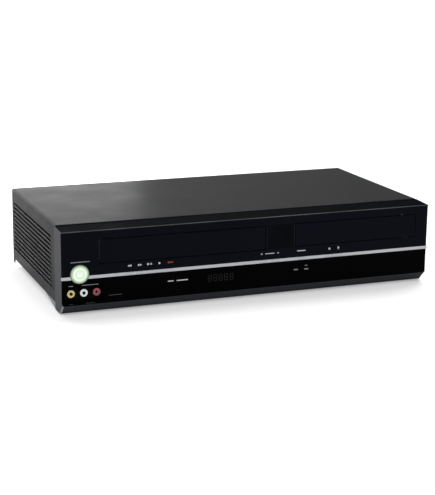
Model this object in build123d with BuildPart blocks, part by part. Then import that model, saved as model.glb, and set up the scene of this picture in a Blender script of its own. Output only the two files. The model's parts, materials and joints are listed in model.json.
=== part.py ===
from build123d import *
from math import acos, atan2, cos, hypot, pi, radians, sin
import os

os.makedirs("parts", exist_ok=True)

# Combined disc and video-cassette player, in millimetres.
# +Z is up, the front faces -Y, and the origin is on the floor under the middle.

# ---------------------------------------------------------------- overall size
width = 435.0  # over the front bezel
depth = 234.0  # face of the power button to the tips of the rear sockets
height = 94.0  # floor to the top of the cover

# ---------------------------------------------------------------- clearances
fit_gap = 0.2  # between pieces that stay put
run_gap = 0.3  # between pieces that move past each other
bore_gap = 0.05  # radial, for a shaft that turns in a bore
overrun = 1.0  # a cut runs this far past the faces it opens
root = 1.0  # ribs and arms start this deep in the wall they grow from
sink = 0.1  # parts raised on a plate start this deep in it
snap = 0.01  # tolerance when edges are picked by place

# ---------------------------------------------------------------- casing
cover_sheet = 0.8
cover_inset = 0.5  # cover sides stand in from the bezel sides
cover_edge_radius = 2.6
cover_overhang = 6.0  # cover runs past the rear panel
cover_flange = 11.0  # rear flange that takes the cover screws
skirt_height = 9.0  # underside of the floor pan above the floor
tab_length = 7.0
tab_drop = 5.0
louvre_rows = 12
louvre_columns = 3
louvre_pitch = 5.03
louvre_height = 2.4
louvre_bridge = 3.0
louvre_low = 21.4  # bottom edge of the lowest louvre
louvre_front_margin = 16.5
louvre_rear_margin = 8.0

bezel_depth = 28.6  # fascia face back to the cover's front edge
bezel_wall = 2.5
bezel_front_wall = 2.0
bezel_floor = 1.6  # lowest point of the bezel above the floor
bezel_top_drop = 0.6  # rear of the bezel's top below the cover's top
bezel_slope = 1.2  # fall of the bezel's top towards the front
rim_height = 1.2  # rim over the upper fascia
rim_radius = 0.6
bezel_edge_radius = 1.0
lip_top = 12.0
lip_corner = 2.0
heel_length = 42.0
lip_step = 1.4  # inner corner of the lip below its top
lip_wall = 1.2  # thickness along the lip's slope
rib_count = 6
rib_thickness = 2.0
rib_from_side = 30.0
heel_root = 0.5
heel_tip = 0.5
soft_edge = 0.4  # rounding of the small front edges

button_proud = 1.0  # power button ahead of the fascia
fascia_thickness = 2.5
fascia_edge_radius = 2.0
window_inset = 0.4  # lower window behind the upper fascia
window_side_inset = 0.8
strip_low = 40.3
strip_height = 3.4
strip_proud = 0.3

foot_radius = 11.0
foot_edge = 1.5
foot_from_side = 32.0
foot_from_front = 48.0
foot_from_rear = 28.0
foot_hollow = 3.85
foot_hollow_depth = 2.5

# ---------------------------------------------------------------- floor pan and rear panel
pan_sheet = 1.0
pan_flange = 10.0
pan_from_fascia = 7.5
board_standoff = 6.0
board_thickness = 1.6
standoff_radius = 3.0
post_radius = 4.0
pan_vent_length = 34.0
pan_vent_width = 3.0
pan_vent_pitch = 7.0
pan_vent_rows = 10
pan_vent_columns = 3
pan_vent_bridge = 8.0
pan_step = 1.0  # the pan widens this far behind the cover's front edge
standoff_inset = 5.0

panel_sheet = 1.0
screw_count = 3
screw_radius = 1.5
screw_head_radius = 3.2
screw_head_height = 1.8
screw_length = 6.0
screw_from_side = 37.5
screw_cross_reach = 1.92
screw_cross_half = 0.4
rear_vent_count = 20
rear_vent_pitch = 8.0
rear_vent_length = 30.0
rear_vent_width = 2.6

# ---------------------------------------------------------------- cassette door
door_from_left = 41.7
middle_gap = 36.2  # between the door and the tray front
door_height = 26.3
door_from_top = 12.3
door_thickness = 2.3
door_gap = 0.6
hinge_radius = 1.0
hinge_eye = 1.7
hinge_behind = 1.9  # hinge line behind the back of the fascia
hinge_above = 3.9  # hinge line above the door's top edge
hinge_arm = 1.6
hinge_reach = 3.0
hinge_block_wall = 1.0
hinge_block_gap = 0.5
hinge_clear = 1.2  # bezel opening above the hinge eyes
hinge_arm_drop = 9.0
hinge_arm_inset = 0.7
door_end_gap = 1.0

# ---------------------------------------------------------------- disc tray
tray_front_width = 150.8
tray_front_height = 25.8
tray_front_from_right = 16.7
tray_front_thickness = 2.3
tray_front_raise = 0.3  # its top edge above the door's top edge
tray_width = 130.0
tray_length = 159.7
tray_plate = 6.0
tray_rail = 5.0
tray_rail_drop = 2.0
disc_radius = 60.0
disc_clearance = 1.5
disc_well = 3.2
small_disc_radius = 40.0
small_disc_clearance = 0.8
small_disc_well = 1.0
tray_front_margin = 8.0
tray_slot_width = 38.0
finger_dip = 9.0
finger_dip_floor = 1.4

# ---------------------------------------------------------------- buttons
button_radius = 10.2
button_gap = 0.3
button_from_left = 19.6
button_high = 45.8
button_dome = 0.8
dome_shoulder = (0.24, 6.0)  # set-back and radius of a point on the dome
button_stem = 3.0
button_travel = 1.2
flange_thickness = 1.2
flange_overlap = 0.9
flange_gap = 0.4  # between the bezel wall and the flanges
stem_behind = 1.5
key_width = 8.0
key_height = 2.2
key_gap = 0.2
key_travel = 0.6
switch_size = 6.0
switch_height = 2.5
switch_slack = 0.5  # free play between a key at rest and its switch, past its travel
key_from_left = {
    "rewind_key": 74.6,
    "fast_forward_key": 85.6,
    "stop_eject_key": 96.7,
    "play_key": 107.8,
    "record_key": 119.9,
}
key_from_right = {
    "channel_down_key": 206.2,
    "channel_up_key": 191.3,
    "source_key": 160.0,
    "disc_stop_key": 125.2,
    "disc_open_key": 114.1,
}

# ---------------------------------------------------------------- front sockets and display
jack_radius = 4.15
jack_bore = 1.7
jack_bore_depth = 7.0
jack_pitch = 14.0
jack_from_left = 9.9
jack_high = 25.2
jack_pocket_low = 15.2
jack_pocket_height = 16.4
jack_pocket_left_margin = 7.0
jack_pocket_right_margin = 7.4
jack_pocket_corner = 4.0
jack_reach = 7.0
jack_block_depth = 5.0
jack_block_rim = 1.0
display_width = 53.0
display_height = 16.0
display_high = 28.4
display_depth = 7.2
display_from_middle = 37.6
display_edge = 0.8
front_board_height = 39.0
board_past_keys = 14.0
board_side_gap = 1.0

# ---------------------------------------------------------------- rear sockets
rear_jack_length = 8.0
rear_jack_columns = 5
rear_jack_rows = 2
rear_jack_pitch = 14.0
rear_jack_row_pitch = 16.0
rear_jack_low = 34.0
rear_jack_from_board = 28.0  # first column, from the main board's left end
rear_socket_gap = 0.8  # round each rear socket, so that a plug's shell can pass into the panel's hole
rear_block_depth = 12.0
rear_block_rim = 0.5
aerial_radius = 4.75
aerial_bore = 0.9
aerial_bore_depth = 6.0
aerial_high = 34.0
aerial_pitch = 18.0
aerial_from_board = 9.0
tuner_width = 16.0
tuner_length = 36.0
tuner_above = 9.0
inlet_width = 17.0
inlet_height = 9.0
inlet_depth = 10.0
inlet_wall = 2.5
inlet_from_right = 20.5
inlet_high = 30.0
inlet_pin_radius = 1.2
inlet_pin_pitch = 8.6
inlet_flange = 1.5
inlet_back_wall = 2.0
inlet_lip = 2.0
inlet_leg_inset = 3.0

# ---------------------------------------------------------------- cassette deck
cassette_slack = 1.6  # door width over cassette width
cassette_thick = 25.0
deck_high = 30.0
deck_sheet = 1.2
deck_margin = 2.0
deck_from_front = 37.0
deck_from_rear = 12.0
deck_corner = 3.0
deck_window = (18.0, 66.0)
deck_window_inset = 28.0
deck_window_from_front = 24.0
deck_rear_window = (28.0, 20.0)
deck_rear_window_behind = 24.0  # from the clutch pulley's axis
post_inset = 8.0
post_front_inset = 10.0
pin_collar = 2.0
collar_height = 1.5
holder_sheet = 1.0
holder_length = 46.0
holder_flange = 14.0
holder_slack = 0.7
holder_from_deck = 1.0
holder_windows = 3
holder_window_margin = 10.0
holder_window_bridge = 16.0
holder_window_length = 28.0
holder_window_corner = 4.0
holder_pin_above = 5.0
pin_root = 0.5
slider_thickness = 1.5
slider_length = 40.0
slider_pin = 1.5
slider_travel = 62.0
slider_play = 0.4
slider_from_holder = 1.5
slider_skirt = 2.0
slider_clearance = 4.15  # under the dropped holder's sliders
guide_inset = 5.0
guide_drop = 3.5
slot_play = 0.15
side_length = 112.0
side_above_holder = 1.25
side_foot = 6.0
side_foot_length = 10.0
side_window_margin = 8.0
side_window_raise = 2.0
side_window_corner = 3.0
guide_pin_proud = 0.8
reel_from_end = 48.0  # from the cassette's end
reel_from_front = 83.0
reel_radius = 18.0
reel_hub = 9.0
reel_height = 13.0
reel_disc = 3.0
reel_neck = 5.4
reel_neck_height = 4.0
reel_fins = 3
reel_fin_thickness = 1.6
reel_pin = 1.5
drum_radius = 31.0
drum_base_height = 19.0
drum_top_height = 14.0
drum_tilt = 5.5
drum_from_rear = 46.0
drum_shaft = 2.5
drum_foot = 4.0
drum_foot_radius = 24.8
drum_foot_height = 10.0
drum_rim = 3.0
drum_boss = 9.3
drum_dish = 2.0
drum_windows = 4
drum_window = (3.0, 4.0)
drum_window_height = 3.0
capstan_from_edge = 38.4  # from the deck's right edge
capstan_from_rear = 82.0
capstan_radius = 1.5
capstan_high = 60.0
flywheel_radius = 26.0
flywheel_thick = 6.0
flywheel_low = 13.0
capstan_pulley = 9.0
clutch_pulley_radius = 17.0
clutch_from_front = 97.0
clutch_shaft = 1.5
belt_thick = 1.2
belt_width = 2.4
pulley_gap = 0.4
flywheel_edge = 0.8
clutch_hub = 10.2
clutch_hub_drop = 2.0
pulley_width = 4.0
motor_radius = 22.0
motor_thick = 4.5
bearing_radius = 6.2
bearing_hole = 6.6
pinch_radius = 6.5
pinch_height = 14.0
pinch_arm_length = 19.5
pinch_pivot_from_edge = 16.4
pinch_pivot_from_rear = 66.0
pinch_swing = 35.0
pinch_pin = 1.5
pinch_boss = 4.0
pinch_plate = 2.0
pinch_arm_tip = 3.2
pinch_boss_height = 9.0
pinch_pin_height = 12.0
pinch_pin_proud = 1.5
pinch_edge = 0.6

# ---------------------------------------------------------------- disc loader
loader_below_tray = 16.3
loader_plate = 2.5
loader_wall = 2.5
loader_from_front = 14.5
loader_length = 152.0
loader_above_tray = 14.7
ledge_width = 5.8
ledge_thick = 2.0
loader_side_gap = 0.5
loader_post_inset = 6.0
loader_post_rear = 5.0
loader_tab = 3.0
loader_tab_length = 12.0
loader_tab_thick = 2.0
loader_tab_inset = 14.0
loader_boss_gap = 1.0
loader_boss_past = 1.5
loader_boss_length = 8.0
loader_boss_above = 4.0
loader_window_margin = 1.5
loader_window_front = 3.0
wall_root = 0.5
tray_in_front = 4.1  # tray's underside above its front's lower edge
gear_teeth = 20
gear_module = 1.0
gear_thick = 4.2
gear_from_front = 22.0
gear_pin = 1.5
rack_from_edge = 10.5
rack_back = 3.0
tooth_share = 0.42  # tooth width over pitch, leaving play in the mesh
tooth_root = (1.4, 0.12)  # depth in modules and extra half width in pitches
tooth_tip = (0.9, 0.11)
rack_margin = 2.0
rack_rest = 1.2  # from the pitch line to the rack's bar, in modules
gear_rest = 1.25  # from the pitch circle to the gear's body, in modules
gear_pin_drop = 0.5
traverse_width = 56.0
traverse_from_front = 45.0
traverse_length = 112.0
traverse_sheet = 2.0
traverse_below_tray = 11.3
pivot_below_tray = 7.8
traverse_pivot_inset = 4.0
traverse_pin = 1.5
traverse_pin_reach = 5.0
traverse_corner = 3.0
traverse_window_margin = 5.0
traverse_window_ends = 4.0
traverse_ear = 3.0
traverse_ear_length = 7.0
spindle_motor_radius = 12.0
motor_below_tray = 0.3
spindle_radius = 1.0
turntable_radius = 15.0
turntable_above_tray = 5.9
turntable_disc = 3.4
turntable_skirt = 9.0
turntable_hub = 7.4
turntable_hub_height = 2.6
turntable_hub_edge = 1.2
rod_radius = 1.5
rod_spread = 36.0
rod_below_tray = 5.8
rod_length = 70.0
rod_clip = 3.0
rod_overlap = 2.0
sled_length = 24.0
sled_height = 7.6
sled_side = 2.0
sled_below_rod = 1.3
sled_before_lens = 9.0
lens_rim = 2.0
lens_rim_drop = 1.0
lens_radius = 4.0
lens_reach = 24.0  # lens to spindle at the innermost place
lens_above_tray = 3.7
bridge_sheet = 1.2
bridge_length = 36.0
bridge_hole = 10.0
bridge_corner = 3.0
puck_radius = 15.5
puck_disc = 2.8
puck_neck = 9.0
puck_cap = 13.0
puck_cap_thick = 1.5

# ---------------------------------------------------------------- boards
main_board_from_right = 191.5
main_board_step_from_right = 95.5
main_board_waist_from_rear = 78.0
main_board_from_front = 33.0
board_from_right = 5.5
power_board_gap = 4.0
power_board_length = 50.0
board_rear_gap = 0.5
post_hole_gap = 1.5
decoder_size = 28.0
decoder_from_front = 45.0
chip_height = 2.0
control_chip = (20.0, 14.0)
control_chip_place = (40.0, 80.0)
capacitor_count = 5
capacitor_pitch = 12.0
signal_capacitor = (3.2, 9.0)  # radius and height
signal_capacitor_place = (20.0, 20.0)
supply_capacitor = (2.5, 7.0)
supply_capacitor_place = (-24.0, 82.0)
core_size = (30.0, 24.0, 24.0)
core_place = (30.0, 20.0)
coil_size = (22.0, 30.0)
coil_span = (3.0, 21.0)
reservoir = (8.0, 28.0)
reservoir_beside = 28.0
output_count = 3
output_capacitor = (4.0, 14.0)
output_place = (8.0, 10.0)
fin_count = 4
fin_size = (1.2, 18.0, 26.0)
fin_pitch = 3.0
fin_place = (42.0, 4.0)

# ================================================================ worked out
half_width = width / 2
front_y = -depth / 2
rear_y = depth / 2
fascia_y = front_y + button_proud
fascia_back = fascia_y + fascia_thickness
wall_back = fascia_back + bezel_front_wall
cover_front = fascia_y + bezel_depth
panel_outer = rear_y - rear_jack_length
panel_inner = panel_outer - panel_sheet
cover_rear = panel_outer + cover_overhang
cover_half = half_width - cover_inset
cover_inside = cover_half - cover_sheet
cover_under = height - cover_sheet
pan_top = skirt_height + pan_sheet
pan_front = fascia_y + pan_from_fascia
pan_half = cover_inside - fit_gap
board_low = pan_top + board_standoff
board_top = board_low + board_thickness

bezel_top_rear = height - bezel_top_drop
bezel_top_front = bezel_top_rear - bezel_slope
fascia_top = bezel_top_front - rim_height
strip_top = strip_low + strip_height
strip_face = fascia_y - strip_proud
window_face = fascia_y + window_inset
window_half = half_width - window_side_inset

door_left = -half_width + door_from_left
door_right = half_width - tray_front_from_right - tray_front_width - middle_gap
door_width = door_right - door_left
cassette_width = door_width - cassette_slack
door_top = height - door_from_top
door_bottom = door_top - door_height
door_back = fascia_y + door_thickness
hinge_y = fascia_back + hinge_behind
hinge_z = door_top + hinge_above
deck_x = (door_left + door_right) / 2

tray_front_right = half_width - tray_front_from_right
tray_front_left = tray_front_right - tray_front_width
tray_front_top = door_top + tray_front_raise
tray_front_bottom = tray_front_top - tray_front_height
tray_front_back = fascia_y + tray_front_thickness
tray_bottom = tray_front_bottom + tray_in_front
tray_x = (tray_front_left + tray_front_right) / 2

button_x = -half_width + button_from_left
button_hole = button_radius + button_gap
key_z = strip_low + strip_height / 2
flange_front = wall_back + flange_gap
board_face = flange_front + flange_thickness + button_travel + switch_slack + stem_behind + switch_height
switch_face = board_face - switch_height
jack_x = [-half_width + jack_from_left + i * jack_pitch for i in range(3)]
jack_face = board_face - jack_block_depth
jack_tip = jack_face - jack_reach

# the keys stand under their printed marks
key_places = {name: -half_width + away for name, away in key_from_left.items()}
key_places |= {name: half_width - away for name, away in key_from_right.items()}


# ================================================================ small helpers
def block(x, y, z, mode=Mode.ADD):
    # a box between low and high limits along each axis
    with Locations(((x[0] + x[1]) / 2, (y[0] + y[1]) / 2, (z[0] + z[1]) / 2)):
        Box(x[1] - x[0], y[1] - y[0], z[1] - z[0], mode=mode)


def upright(radius, x, y, low, high, mode=Mode.ADD):
    # a round bar along Z
    with Locations((x, y, (low + high) / 2)):
        Cylinder(radius, high - low, mode=mode)


def lengthwise(radius, x, z, front, back, mode=Mode.ADD):
    # a round bar along Y
    with Locations(Location((x, (front + back) / 2, z), (90, 0, 0))):
        Cylinder(radius, back - front, mode=mode)


def crosswise(radius, y, z, left, right, mode=Mode.ADD):
    # a round bar along X
    with Locations(Location(((left + right) / 2, y, z), (0, 90, 0))):
        Cylinder(radius, right - left, mode=mode)


def facing(y):
    # a plane that looks out of the front; its own axes run along X and Z
    return Plane.XZ.offset(-y)


def around(middle, half):
    # the low and high limits of a span about its middle
    return (middle - half, middle + half)


# ================================================================ casing
louvre_back = cover_rear - louvre_rear_margin
louvre_front = cover_front + louvre_front_margin
louvre_run = louvre_back - louvre_front
louvre_length = (louvre_run - (louvre_columns - 1) * louvre_bridge) / louvre_columns
louvre_middle = louvre_low + (louvre_rows - 1) * louvre_pitch / 2 + louvre_height / 2
screw_z = cover_under - cover_flange / 2
screw_spacing = (width - 2 * screw_from_side) / (screw_count - 1)

with BuildPart() as top_cover:
    with BuildSketch(facing(cover_front)):
        with Locations((0, (skirt_height + height) / 2)):
            outline = Rectangle(2 * cover_half, height - skirt_height)
        fillet(outline.vertices().group_by(Axis.Y)[-1], cover_edge_radius)
        with Locations((0, (skirt_height + cover_under) / 2)):
            Rectangle(2 * cover_inside, cover_under - skirt_height, mode=Mode.SUBTRACT)
    extrude(amount=-(cover_rear - cover_front))
    inner_edges = top_cover.edges().filter_by(Axis.Y).filter_by_position(
        Axis.Z, *around(cover_under, snap))
    fillet(inner_edges, cover_edge_radius - cover_sheet)
    with BuildSketch(Plane.YZ):
        with Locations(((louvre_front + louvre_back) / 2, louvre_middle)):
            with GridLocations(louvre_length + louvre_bridge, louvre_pitch, louvre_columns, louvre_rows):
                SlotOverall(louvre_length, louvre_height)
    extrude(amount=width, both=True, mode=Mode.SUBTRACT)
    block((-cover_inside, cover_inside), (panel_outer, panel_outer + cover_sheet),
          (cover_under - cover_flange, cover_under))
    for side in (-1, 1):
        sheet_middle = side * (cover_half + cover_inside) / 2
        block(around(sheet_middle, cover_sheet / 2), (cover_rear - tab_length, cover_rear),
              (skirt_height - tab_drop, skirt_height))
    for i in range(screw_count):
        screw_x = (i - (screw_count - 1) / 2) * screw_spacing
        lengthwise(screw_radius + fit_gap, screw_x, screw_z, panel_outer - overrun,
                   panel_outer + cover_sheet + overrun, mode=Mode.SUBTRACT)
top_cover.part.label = "top_cover"
export_step(top_cover.part, "parts/top_cover.step")

with BuildPart() as cover_screws:
    for i in range(screw_count):
        screw_x = (i - (screw_count - 1) / 2) * screw_spacing
        head_y = panel_outer + cover_sheet
        lengthwise(screw_head_radius, screw_x, screw_z, head_y, head_y + screw_head_height)
        lengthwise(screw_radius, screw_x, screw_z, head_y - screw_length, head_y)
        for cross in ((screw_cross_reach, screw_cross_half), (screw_cross_half, screw_cross_reach)):
            block(around(screw_x, cross[0]), (head_y + screw_head_height / 2, head_y + screw_head_height),
                  around(screw_z, cross[1]), mode=Mode.SUBTRACT)
cover_screws.part.label = "cover_screws"
export_step(cover_screws.part, "parts/cover_screws.step")

# The bezel is a five-sided box behind the fascia, open at the back.
wall_inner_top = bezel_top_rear - bezel_wall
lip_run = lip_top - bezel_floor
door_cut_x = (door_left - door_end_gap, door_right + door_end_gap)
door_cut_z = (door_bottom - door_gap, hinge_z + hinge_eye + hinge_clear)
pocket_left = jack_x[0] - jack_pocket_left_margin
pocket_right = jack_x[2] + jack_pocket_right_margin
pocket_middle = jack_pocket_low + jack_pocket_height / 2
display_left = -display_from_middle - display_width / 2
display_right = display_left + display_width

with BuildPart() as front_bezel:
    with BuildSketch(Plane.YZ.offset(-half_width)):
        with BuildLine():
            Polyline(
                (cover_front, bezel_top_rear),
                (fascia_y, bezel_top_front),
                (fascia_y, fascia_top),
                (fascia_back, fascia_top),
                (fascia_back, lip_top),
                (fascia_y, lip_top),
                (fascia_y + lip_run, bezel_floor),
                (cover_front, bezel_floor),
                close=True,
            )
        make_face()
    extrude(amount=width)
    top_sides = ShapeList(
        edge for edge in front_bezel.edges()
        if abs(abs(edge.center().X) - half_width) < snap and edge.center().Z > bezel_top_front)
    fillet(top_sides, bezel_edge_radius)
    rim_edges = front_bezel.edges().filter_by(Axis.X).filter_by_position(
        Axis.Z, *around(bezel_top_front, snap))
    fillet(rim_edges, rim_radius)
    lip_ends = front_bezel.faces().sort_by(Axis.X)
    end_edges = ShapeList(
        edge for face in (lip_ends[0], lip_ends[-1]) for edge in face.edges()
        if bezel_floor + snap < edge.center().Z < lip_top - snap
        and edge.center().Y < fascia_back + lip_run / 2)
    chamfer(end_edges, lip_corner)
    with BuildSketch(Plane.YZ.offset(-half_width + bezel_wall)):
        with BuildLine():
            Polyline(
                (cover_front + overrun, wall_inner_top),
                (wall_back, wall_inner_top - bezel_slope),
                (wall_back, lip_top - lip_step),
                (wall_back + lip_run - bezel_wall - lip_wall, bezel_floor + bezel_wall),
                (cover_front + overrun, bezel_floor + bezel_wall),
                close=True,
            )
        make_face()
    extrude(amount=width - 2 * bezel_wall, mode=Mode.SUBTRACT)
    wall_span = (fascia_back - overrun, wall_back + overrun)
    block(door_cut_x, wall_span, door_cut_z, mode=Mode.SUBTRACT)
    block((tray_front_left - door_gap, tray_front_right + door_gap), wall_span,
          (tray_front_bottom - door_gap, tray_front_top + door_gap), mode=Mode.SUBTRACT)
    block((pocket_left, pocket_right), wall_span,
          around(pocket_middle, jack_pocket_height / 2), mode=Mode.SUBTRACT)
    block((display_left, display_right), wall_span,
          around(display_high, display_height / 2), mode=Mode.SUBTRACT)
    lengthwise(button_hole, button_x, button_high, wall_span[0], wall_span[1], mode=Mode.SUBTRACT)
    for key_x in key_places.values():
        block(around(key_x, key_width / 2 + key_gap), wall_span,
              around(key_z, key_height / 2 + key_gap), mode=Mode.SUBTRACT)
    # hinge blocks at both ends of the door
    for inner, outer in ((door_cut_x[0], door_cut_x[0] - hinge_reach - hinge_block_wall),
                         (door_cut_x[1], door_cut_x[1] + hinge_reach + hinge_block_wall)):
        ends = (min(inner, outer), max(inner, outer))
        block(ends, (fascia_back + hinge_block_gap, hinge_y + hinge_eye + hinge_block_wall),
              around(hinge_z, hinge_eye + hinge_block_wall))
        hole_end = hinge_reach + run_gap
        hole = (inner - overrun, inner + hole_end) if outer > inner else (inner - hole_end, inner + overrun)
        crosswise(hinge_radius + bore_gap, hinge_y, hinge_z, hole[0], hole[1], mode=Mode.SUBTRACT)
    # ribs that the floor pan rests on, and a heel under each cover side
    for i in range(rib_count):
        rib_x = (i / (rib_count - 1) - 1 / 2) * (width - 2 * rib_from_side)
        block(around(rib_x, rib_thickness / 2), (fascia_y + lip_run, cover_front),
              (bezel_floor + root, skirt_height))
    for side in (-1, 1):
        start = half_width - bezel_wall if side > 0 else -half_width + cover_inset
        with BuildSketch(Plane.YZ.offset(start)):
            with BuildLine():
                Polyline(
                    (cover_front - heel_root, bezel_floor),
                    (cover_front, bezel_floor),
                    (cover_front + heel_length, skirt_height - fit_gap - heel_tip),
                    (cover_front + heel_length, skirt_height - fit_gap),
                    (cover_front - heel_root, skirt_height - fit_gap),
                    close=True,
                )
            make_face()
        extrude(amount=bezel_wall - cover_inset)
front_bezel.part.label = "front_bezel"
export_step(front_bezel.part, "parts/front_bezel.step")

with BuildPart() as upper_fascia:
    with BuildSketch(facing(fascia_back)):
        with Locations((0, (strip_top + fascia_top) / 2)):
            Rectangle(width, fascia_top - strip_top)
        with Locations((deck_x, (door_bottom + door_top) / 2)):
            Rectangle(door_width + 2 * door_gap, door_height + 2 * door_gap, mode=Mode.SUBTRACT)
        with Locations((tray_x, (tray_front_bottom + tray_front_top) / 2)):
            Rectangle(tray_front_width + 2 * door_gap, tray_front_height + 2 * door_gap,
                      mode=Mode.SUBTRACT)
        with Locations((button_x, button_high)):
            Circle(button_hole, mode=Mode.SUBTRACT)
    extrude(amount=fascia_thickness)
    corner_edges = ShapeList(
        edge for edge in upper_fascia.edges().filter_by(Axis.Z)
        if abs(abs(edge.center().X) - half_width) < snap and edge.center().Y < fascia_y + snap)
    fillet(corner_edges, fascia_edge_radius)
upper_fascia.part.label = "upper_fascia"
export_step(upper_fascia.part, "parts/upper_fascia.step")

with BuildPart() as lower_window:
    with BuildSketch(facing(fascia_back)):
        with Locations((0, (lip_top + strip_low) / 2)):
            Rectangle(2 * window_half, strip_low - lip_top)
        with Locations(((pocket_left + pocket_right) / 2, pocket_middle)):
            RectangleRounded(pocket_right - pocket_left, jack_pocket_height, jack_pocket_corner,
                             mode=Mode.SUBTRACT)
        with Locations((button_x, button_high)):
            Circle(button_hole, mode=Mode.SUBTRACT)
    extrude(amount=fascia_back - window_face)
lower_window.part.label = "lower_window"
export_step(lower_window.part, "parts/lower_window.step")

with BuildPart() as trim_strip:
    with BuildSketch(facing(fascia_back)):
        with Locations((0, key_z)):
            Rectangle(width, strip_height)
        for key_x in key_places.values():
            with Locations((key_x, key_z)):
                Rectangle(key_width + 2 * key_gap, key_height + 2 * key_gap, mode=Mode.SUBTRACT)
        with Locations((button_x, button_high)):
            Circle(button_hole, mode=Mode.SUBTRACT)
    extrude(amount=fascia_back - strip_face)
trim_strip.part.label = "trim_strip"
export_step(trim_strip.part, "parts/trim_strip.step")

with BuildPart() as cassette_door:
    block((door_left, door_right), (fascia_y, door_back), (door_bottom, door_top))
    front_face = cassette_door.faces().sort_by(Axis.Y)[0]
    fillet(front_face.edges(), soft_edge)
    for side, edge_x in ((1, door_left), (-1, door_right)):
        arm = (min(edge_x, edge_x + side * hinge_arm), max(edge_x, edge_x + side * hinge_arm))
        arm_low = door_top - hinge_arm_drop
        block(arm, (door_back - root, hinge_y + hinge_eye), (arm_low, door_top - hinge_arm_inset))
        block(arm, around(hinge_y, hinge_eye), (arm_low, hinge_z))
        crosswise(hinge_eye, hinge_y, hinge_z, arm[0], arm[1])
        tip = edge_x - side * (door_end_gap + hinge_reach)
        crosswise(hinge_radius, hinge_y, hinge_z, min(edge_x, tip), max(edge_x, tip))
cassette_door.part.label = "cassette_door"
export_step(cassette_door.part, "parts/cassette_door.step")

# ================================================================ buttons and keys
stem_end = switch_face - button_travel - switch_slack
flange_back = flange_front + flange_thickness
with BuildPart() as power_button:
    with BuildSketch(Plane.YZ.offset(button_x)):
        rim_high = button_high + button_radius
        with BuildLine():
            ThreePointArc(
                (front_y, button_high),
                (front_y + dome_shoulder[0], button_high + dome_shoulder[1]),
                (front_y + button_dome, rim_high),
            )
            Polyline(
                (front_y + button_dome, rim_high),
                (flange_front, rim_high),
                (flange_front, button_high + button_hole + flange_overlap),
                (flange_back, button_high + button_hole + flange_overlap),
                (flange_back, button_high + button_stem),
                (stem_end, button_high + button_stem),
                (stem_end, button_high),
                (front_y, button_high),
            )
        make_face()
    revolve(axis=Axis((button_x, 0, button_high), (0, 1, 0)))
power_button.part.label = "power_button"
export_step(power_button.part, "parts/power_button.step")

for key_name, key_x in key_places.items():
    with BuildPart() as key:
        block(around(key_x, key_width / 2), (strip_face, flange_front + sink), around(key_z, key_height / 2))
        block(around(key_x, key_width / 2 + key_gap + flange_overlap), (flange_front, flange_back),
              around(key_z, key_height / 2 + key_gap + flange_overlap))
        block(around(key_x, key_height / 2), (flange_front, switch_face - key_travel - switch_slack),
              around(key_z, key_height / 2))
    key.part.label = key_name
    export_step(key.part, f"parts/{key_name}.step")

# ================================================================ front sockets, board and display
board_back = board_face + board_thickness
display_front = board_face - display_depth
front_board_top = pan_top + front_board_height
board_right = key_places["disc_open_key"] + board_past_keys

with BuildPart() as front_jack_block:
    block((pocket_left - fit_gap, pocket_right + fit_gap), (jack_face, board_face),
          (jack_pocket_low - jack_block_rim, jack_pocket_low + jack_pocket_height + sink))
front_jack_block.part.label = "front_jack_block"
export_step(front_jack_block.part, "parts/front_jack_block.step")

jack_names = ("video_jack", "left_audio_jack", "right_audio_jack")
for jack_name, x in zip(jack_names, jack_x):
    with BuildPart() as jack:
        lengthwise(jack_radius, x, jack_high, jack_tip, jack_face)
        front_rim = jack.edges().filter_by(GeomType.CIRCLE).sort_by(Axis.Y)[0]
        fillet(front_rim, soft_edge)
        lengthwise(jack_bore, x, jack_high, jack_tip - overrun, jack_tip + jack_bore_depth,
                   mode=Mode.SUBTRACT)
    jack.part.label = jack_name
    export_step(jack.part, f"parts/{jack_name}.step")

with BuildPart() as front_board:
    block((-half_width + bezel_wall + board_side_gap, board_right), (board_face, board_back),
          (pan_top, front_board_top))
front_board.part.label = "front_board"
export_step(front_board.part, "parts/front_board.step")

with BuildPart() as key_switches:
    for x in [*key_places.values(), button_x]:
        high = button_high if x == button_x else key_z
        block(around(x, switch_size / 2), (switch_face, board_face), around(high, switch_size / 2))
key_switches.part.label = "key_switches"
export_step(key_switches.part, "parts/key_switches.step")

with BuildPart() as display_module:
    block((display_left + fit_gap, display_right - fit_gap), (display_front, board_face),
          around(display_high, display_height / 2 - fit_gap))
    bezel_edges = display_module.faces().sort_by(Axis.Y)[0].edges()
    chamfer(bezel_edges, display_edge)
display_module.part.label = "display_module"
export_step(display_module.part, "parts/display_module.step")

# ================================================================ floor pan, feet and rear panel
loader_front = fascia_y + loader_from_front
loader_rear = loader_front + loader_length
loader_half = tray_width / 2 + run_gap + loader_wall + loader_side_gap
loader_high = tray_bottom - loader_below_tray
deck_front = fascia_y + deck_from_front
deck_rear = rear_y - deck_from_rear
deck_half = cassette_width / 2 + holder_slack + holder_sheet + slider_thickness + deck_sheet + deck_margin
deck_left = deck_x - deck_half
deck_right = deck_x + deck_half
deck_posts = [(x, y) for x in (deck_left + post_inset, deck_right - post_inset)
              for y in (deck_front + post_front_inset, deck_rear - post_inset)]
loader_posts = [(tray_x + side * (loader_half - loader_post_inset), y) for side in (-1, 1)
                for y in (loader_front + post_inset, loader_rear - loader_post_rear)]
main_front = fascia_y + main_board_from_front
main_waist = rear_y - main_board_waist_from_rear
main_board_left = half_width - main_board_from_right
main_board_step = half_width - main_board_step_from_right
main_rear = panel_inner - board_rear_gap
boards_right = pan_half - board_from_right
power_left = main_board_step + power_board_gap
power_front = main_rear - power_board_length
main_outline = [
    (main_board_left, main_front),
    (boards_right, main_front),
    (boards_right, main_waist),
    (main_board_step, main_waist),
    (main_board_step, main_rear),
    (main_board_left, main_rear),
]
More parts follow.
